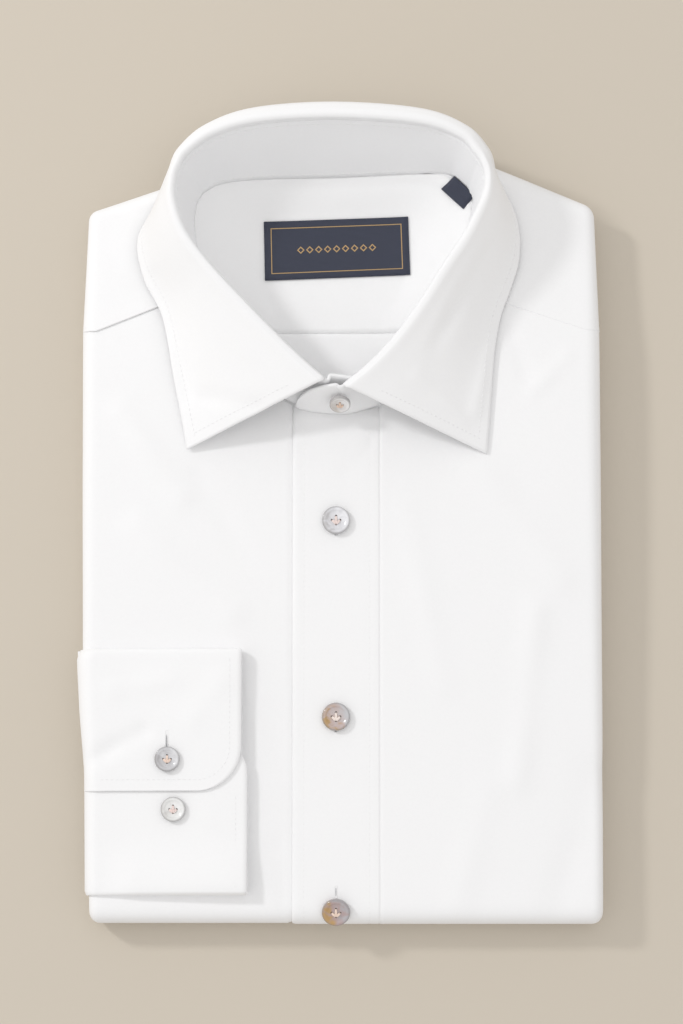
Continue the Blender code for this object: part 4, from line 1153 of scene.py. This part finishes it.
def stitchMesh(name, places, size):
    bm = bmesh.new()
    for middle, along, up in places:
        across = up.cross(along).normalized()
        rings = []
        for share, swell in stitchForm:
            sink = size["height"] * (1.0 - math.cos(math.pi * share)) * 0.9
            spot = middle + along * share * size["length"] - up * sink
            halfWide = across * size["width"] * 0.5 * swell
            rings.append(ringAround(bm, spot * mm, halfWide * mm, up * size["height"] * swell * mm))
        closeTube(bm, rings)
    bmesh.ops.recalc_face_normals(bm, faces=bm.faces)
    return newPiece(name, bm)


# Even places along a line of (point, normal) pairs
def evenPlaces(line, pitch, lift):
    places = []
    spare = pitch * 0.5
    for (a, upA), (b, upB) in zip(line, line[1:]):
        step = b - a
        length = step.length
        if length < 1e-6:
            continue
        along = step / length
        while spare < length:
            up = upA.lerp(upB, spare / length).normalized()
            places.append((a + along * spare + up * lift, along, up))
            spare += pitch
        spare -= length
    return places


# Points and outward normals of a grid along rows or columns, at whole steps
def gridLine(grid, cells, outward, lift=None):
    normals = gridNormals(grid)
    line = []
    for r, c in cells:
        up = normals[r][c] * outward
        point = grid[r][c] + up * (lift(grid[r][c]) if lift else 0.0)
        line.append((point, up))
    return line


threadSize = {"length": 1.75, "width": 0.42, "height": 0.17, "pitch": 2.35, "lift": 0.04}
fineThread = {"length": 1.6, "width": 0.32, "height": 0.10, "pitch": 2.35, "lift": 0.0}


def sewRow(name, line, size=threadSize):
    places = evenPlaces(line, size["pitch"], size["lift"])
    return finishPiece(stitchMesh(name, places, size), None, seamThread)


# Points and outward normals at a distance inside an edge: each path of cells starts on it and runs inward
def insetLine(grid, outward, distance, paths):
    normals = gridNormals(grid)
    points = []
    for path in paths:
        left = distance
        for (r, c), (nextR, nextC) in zip(path, path[1:]):
            length = (grid[nextR][nextC] - grid[r][c]).length
            if length >= left:
                spot = grid[r][c].lerp(grid[nextR][nextC], left / length)
                points.append((spot, normals[r][c] * outward))
                break
            left -= length
    return points


def fromFirstRow(grid, columns):
    return [[(r, c) for r in range(len(grid))] for c in columns]


def fromLastRow(grid, columns):
    return [path[::-1] for path in fromFirstRow(grid, columns)]


seamInset = 1.7
hem = 5.0
for name, column in (("placketStitchesLeft", 4), ("placketStitchesRight", 28)):
    cells = [(r, column) for r in range(2, 84)]
    sewRow(name, gridLine(placketGrid, cells, -1.0, placketLift), fineThread)
for name, sewn, outward, paths in (
    ("yokeStitchesLeft", yokeGrid, -1.0, fromFirstRow(yokeGrid, range(25))),
    ("yokeStitchesRight", yokeGrid, -1.0, fromLastRow(yokeGrid, range(25))),
    ("innerYokeStitches", innerYokeGrid, 1.0, fromFirstRow(innerYokeGrid, range(6, 54))),
):
    sewRow(name, insetLine(sewn, outward, seamInset, paths), fineThread)


# Point just above the cuff's upper or under layer
def cuffPoint(x, y, lift):
    crease = creased(cuffCreases, x, y) if lift == cuff["over"] else 0.0
    return Vector((x, y, frontHeight(x, y) + lift + cuffSpring(x, y) + crease + 0.04))


upright = Vector((0.0, 0.0, 1.0))
cornerX = cuff["endX"] - cuff["corner"]
cornerY = cuff["lapY"] + cuff["corner"]
line = [(mix(-110.0, cornerX, t), cuff["lapY"] + hem) for t in spread(24)]
for t in spread(16)[1:]:
    turn = math.pi / 2.0 * t
    line.append((cornerX + (cuff["corner"] - hem) * math.sin(turn),
                 cornerY - (cuff["corner"] - hem) * math.cos(turn)))
line += [(cuff["endX"] - hem, mix(cornerY, cuff["topY"] - 4.0, t)) for t in spread(16)[1:]]
sewRow("cuffEdgeStitches", [(cuffPoint(x, y, cuff["over"]), upright) for x, y in line], fineThread)
line = [(cuff["underX"] - hem, mix(cuff["lapY"] - 2.0, cuff["bottomY"] + 3.0, t)) for t in spread(16)]
sewRow("cuffEndStitches", [(cuffPoint(x, y, cuff["under"]), upright) for x, y in line], fineThread)


# Buttonhole: two banks of close stitches along a slit, with a bar at each end, and a thin dark strip in the
# slit as painted shade
holeSize = {"slit": 0.34, "pitch": 0.40}
ribSize = {"length": 0.8, "width": 0.40, "height": 0.17}
barSize = {"length": 2.0, "width": 0.46, "height": 0.20}


def makeButtonhole(name, middle, length):
    along = Vector((0.0, 1.0, 0.0))
    up = upright
    across = up.cross(along)
    ribs = []
    count = int(length / holeSize["pitch"])
    for k in range(count + 1):
        spot = middle + along * (k / count - 0.5) * length
        for side in (-1.0, 1.0):
            away = side * (holeSize["slit"] + ribSize["length"]) * 0.5
            ribs.append((spot + across * away, across, up))
    finishPiece(stitchMesh(name + "Ribs", ribs, ribSize), None, seamThread)
    bars = [(middle + along * side * (length * 0.5 + 0.3), across, up) for side in (-1.0, 1.0)]
    finishPiece(stitchMesh(name + "Bars", bars, barSize), None, seamThread)
    # The slit's shadow is painted: a thin dark strip in the painted-shade material
    slit = stitchMesh(name + "SlitShade", [(middle, along, up)],
                      {"length": length, "width": holeSize["slit"] * 1.2, "height": 0.05})
    finishPiece(slit, None, holeShade)


def placketFace(x, y):
    return Vector((x, y, bodyTop(x, y) + creased(frontCreases, x, y) * placketShape["creaseShare"]))


for name, spot, length in (
    ("frontHole1", placketFace(-2.5, -3.4), 15.0),
    ("frontHole2", placketFace(-2.5, -93.4), 15.0),
    ("frontHole3", placketFace(-2.5, -173.2), 5.0),
    ("cuffHole", cuffPoint(-79.3, -107.3, cuff["over"] + 0.08), 13.0),
):
    makeButtonhole(name, spot, length)

# Buttons
buttons = [
    {"name": "frontButton1", "node": "front_button_1", "wide": 12.8, "thick": 2.4, "normal": (0, 0, 1),
     "thread": (0.88, 0.74, 0.70), "tones": ((0.56, 0.55, 0.56), (0.70, 0.70, 0.73), (0.84, 0.84, 0.87))},
    {"name": "frontButton2", "node": "front_button_2", "wide": 12.8, "thick": 2.4, "normal": (0, 0, 1),
     "thread": (0.93, 0.82, 0.76), "tones": ((0.46, 0.29, 0.12), (0.52, 0.42, 0.40), (0.54, 0.54, 0.56))},
    {"name": "frontButton3", "node": "front_button_3", "wide": 12.8, "thick": 2.4,
     "normal": (0, -math.sin(math.radians(24.0)), math.cos(math.radians(24.0))),
     "thread": (0.93, 0.75, 0.64), "tones": ((0.50, 0.31, 0.12), (0.46, 0.34, 0.33), (0.46, 0.44, 0.46))},
    {"name": "cuffButton1", "node": "cuff_button_1", "wide": 11.4, "thick": 2.4, "normal": (0, 0, 1),
     "thread": (0.88, 0.70, 0.60), "tones": ((0.46, 0.45, 0.46), (0.60, 0.60, 0.62), (0.74, 0.74, 0.76))},
    {"name": "cuffButton2", "node": "cuff_button_2", "wide": 11.2, "thick": 2.4, "normal": (0, 0, 1),
     "thread": (0.88, 0.72, 0.68), "tones": ((0.66, 0.65, 0.64), (0.78, 0.78, 0.77), (0.86, 0.86, 0.86))},
    {"name": "collarButton", "node": "collar_button", "wide": 9.6, "thick": 2.2, "normal": (0, -0.8, 0.6),
     "thread": (0.80, 0.60, 0.48), "tones": ((0.62, 0.58, 0.55), (0.74, 0.72, 0.71), (0.84, 0.83, 0.83))},
]


# Shares of the radius (rim, step, rimRound), the thickness (dish, floor, edgeRound) and the width (holes)
buttonShape = {"rim": 0.24, "step": 0.08, "rimRound": 0.05, "dish": 0.13, "floor": 0.08, "edgeRound": 0.30,
               "holeAt": 0.148, "holeRadius": 0.043}
yarn = {
    "radius": 0.25, "fan": 0.36, "gather": 0.35,
    "path": ((0.0, -0.7), (0.02, 0.1), (0.2, 0.34), (0.5, 0.42), (0.8, 0.34), (0.98, 0.1), (1.0, -0.7)),
}


def clearSelection(mesh):
    for parts in (mesh.vertices, mesh.edges, mesh.polygons):
        for part in parts:
            part.select = False


def selectFaces(item, test):
    bpy.ops.object.mode_set(mode="OBJECT")
    clearSelection(item.data)
    for face in item.data.polygons:
        face.select = test(face)
    bpy.ops.object.mode_set(mode="EDIT")


def selectEdges(item, test):
    bpy.ops.object.mode_set(mode="OBJECT")
    clearSelection(item.data)
    for edge in item.data.edges:
        edge.select = test(*[item.data.vertices[i].co for i in edge.vertices])
    bpy.ops.object.mode_set(mode="EDIT")


def selectOnly(items):
    bpy.ops.object.select_all(action="DESELECT")
    for item in items:
        item.select_set(True)
    bpy.context.view_layer.objects.active = items[0]


# A turned disc: a flat rim, a step down and a dished middle, its edges rounded
def turnButton(row):
    radius = row["wide"] * mm / 2.0
    thick = row["thick"] * mm
    lip = radius * (1.0 - buttonShape["rim"])

    def onSide(a, b):
        return min(a.xy.length, b.xy.length) > radius * 0.98 and abs(a.z - b.z) < thick * 0.1

    def onLip(a, b):
        return a.z > 0.0 and max(abs(a.xy.length - lip), abs(b.xy.length - lip)) < radius * 0.01

    bpy.ops.object.select_all(action="DESELECT")
    bpy.ops.mesh.primitive_cylinder_add(vertices=64, radius=radius, depth=thick, location=(0, 0, 0))
    item = bpy.context.active_object
    item.name = row["name"]
    bpy.ops.object.mode_set(mode="EDIT")
    bpy.ops.mesh.select_mode(type="FACE")
    selectFaces(item, lambda face: face.normal.z > 0.9)
    bpy.ops.mesh.inset(thickness=radius * buttonShape["rim"])
    for drop in (buttonShape["dish"], buttonShape["floor"]):
        bpy.ops.mesh.inset(thickness=radius * buttonShape["step"])
        bpy.ops.transform.translate(value=(0, 0, -thick * drop))
    bpy.ops.mesh.select_mode(type="EDGE")
    selectEdges(item, onSide)
    bpy.ops.mesh.bevel(offset=thick * buttonShape["edgeRound"], segments=5)
    selectEdges(item, onLip)
    bpy.ops.mesh.bevel(offset=radius * buttonShape["rimRound"], segments=3)
    bpy.ops.object.mode_set(mode="OBJECT")
    return item


def drillHoles(item, row):
    reach = row["wide"] * mm * buttonShape["holeAt"]
    drills = []
    for k in range(4):
        turn = math.pi / 2.0 * k
        place = (reach * math.cos(turn), reach * math.sin(turn), 0)
        bpy.ops.object.select_all(action="DESELECT")
        bpy.ops.mesh.primitive_cylinder_add(vertices=20, radius=row["wide"] * mm * buttonShape["holeRadius"],
                                            depth=row["thick"] * mm * 3.0, location=place)
        drills.append(bpy.context.active_object)
    selectOnly(drills)
    bpy.ops.object.join()
    selectOnly([item])
    cut = item.modifiers.new("holes", "BOOLEAN")
    cut.solver = "EXACT"
    cut.object = drills[0]
    bpy.ops.object.modifier_apply(modifier="holes")
    bpy.data.objects.remove(drills[0], do_unlink=True)
    bpy.ops.object.shade_smooth_by_angle(angle=math.radians(32.0))


# Sewn like a crow's foot, from the lowest hole to the other three
def sewButton(row):
    bm = bmesh.new()
    face = row["thick"] * (0.5 - buttonShape["dish"] - buttonShape["floor"])
    reach = row["wide"] * buttonShape["holeAt"]
    start = Vector((0.0, -reach, 0.0))
    for end in (Vector((0.0, reach, 0.0)), Vector((-reach, 0.0, 0.0)), Vector((reach, 0.0, 0.0))):
        along = (end - start).normalized()
        beside = Vector((-along.y, along.x, 0.0))
        for shift in (-yarn["fan"], 0.0, yarn["fan"]):
            rings = []
            for share, height in yarn["path"]:
                fan = shift * mix(yarn["gather"], 1.0, math.sin(math.pi * share))
                middle = start.lerp(end, share) + beside * fan + upright * (face + height)
                flat = along if height < 0.0 else upright
                rings.append(ringAround(bm, middle, beside * yarn["radius"], flat * yarn["radius"]))
            closeTube(bm, rings)
    bmesh.ops.recalc_face_normals(bm, faces=bm.faces)
    bmesh.ops.scale(bm, vec=(mm, mm, mm), verts=bm.verts)
    return newPiece(row["name"] + "Thread", bm)


for row in buttons:
    low, high = nodeBox(row["node"])
    centre = (low + high) * 0.5
    if "cuff" in row["name"]:
        centre.z += cuffSpring(centre.x, centre.y)
    button = turnButton(row)
    drillHoles(button, row)
    thread = sewButton(row)
    lean = upright.rotation_difference(Vector(row["normal"]).normalized())
    for item in (button, thread):
        item.data.transform(Matrix.Translation(centre * mm) @ lean.to_matrix().to_4x4())
    pearl = pearlMaterial(row["name"] + "Pearl", centre, row["wide"] / 2.0, row["tones"])
    finishPiece(button, row["node"], pearl)
    finishPiece(thread, None, threadMaterial(row["name"] + "Yarn", row["thread"]))
print("buttons made")

lastRow = len(leafGrid) - 1
lastColumn = len(leafCols) - 1
tipColumns = range(30, lastColumn - 2)
for name, paths in (
    ("leafEdgeStitches", [[(r, c) for c in range(lastColumn, -1, -1)] for r in range(4, lastRow - 3)]),
    ("leafTipStitchesLeft", fromFirstRow(leafGrid, tipColumns)),
    ("leafTipStitchesRight", fromLastRow(leafGrid, tipColumns)),
):
    sewRow(name, insetLine(leafGrid, -1.0, hem, paths))
for name, column in (("standTopStitches", 14), ("standFootStitches", 1)):
    sewRow(name, gridLine(standGrid, [(r, column) for r in range(6, 235)], -1.0))
print("stitches made")


# Camera, floor and lights
view = {"tilt": math.radians(8.0), "lens": 100.0, "distance": 1.3084, "aimZ": 0.022}
back = Vector((0.0, -math.sin(view["tilt"]), math.cos(view["tilt"])))
cameraData = bpy.data.cameras.new("camera")
cameraData.lens = view["lens"]
cameraData.sensor_width = 36.0
camera = bpy.data.objects.new("camera", cameraData)
bpy.context.collection.objects.link(camera)
camera.location = Vector((0.0, 0.0, view["aimZ"])) + back * view["distance"]
camera.rotation_euler = (view["tilt"], 0.0, 0.0)
bpy.context.scene.camera = camera
bpy.context.scene.view_settings.view_transform = "Standard"

bpy.ops.object.select_all(action="DESELECT")
bpy.ops.mesh.primitive_plane_add(size=30.0, location=(0.0, 0.0, 0.0))
floor = bpy.context.active_object
floor.name = "floor"
material, tree, shader = newMaterial("floorPaint")
setInputs(tree, shader, {"Base Color": (0.62, 0.56, 0.475, 1.0), "Roughness": 0.9})
floor.data.materials.append(material)


def areaLight(name, place, size, watts):
    data = bpy.data.lights.new(name, "AREA")
    data.shape = "DISK"
    data.size = size
    data.energy = watts
    lamp = bpy.data.objects.new(name, data)
    bpy.context.collection.objects.link(lamp)
    lamp.location = place
    lamp.rotation_mode = "QUATERNION"
    lamp.rotation_quaternion = Vector(place).to_track_quat("Z", "Y")


areaLight("key", (-1.45, 0.80, 1.3), 0.26, 11.5)
areaLight("fill", (-0.2, 0.3, 2.2), 2.6, 5.0)
world = bpy.data.worlds.new("studio")
world.use_nodes = True
world.node_tree.nodes["Background"].inputs["Color"].default_value = (1.0, 0.99, 0.98, 1.0)
world.node_tree.nodes["Background"].inputs["Strength"].default_value = 0.78
bpy.context.scene.world = world
print("stage made")
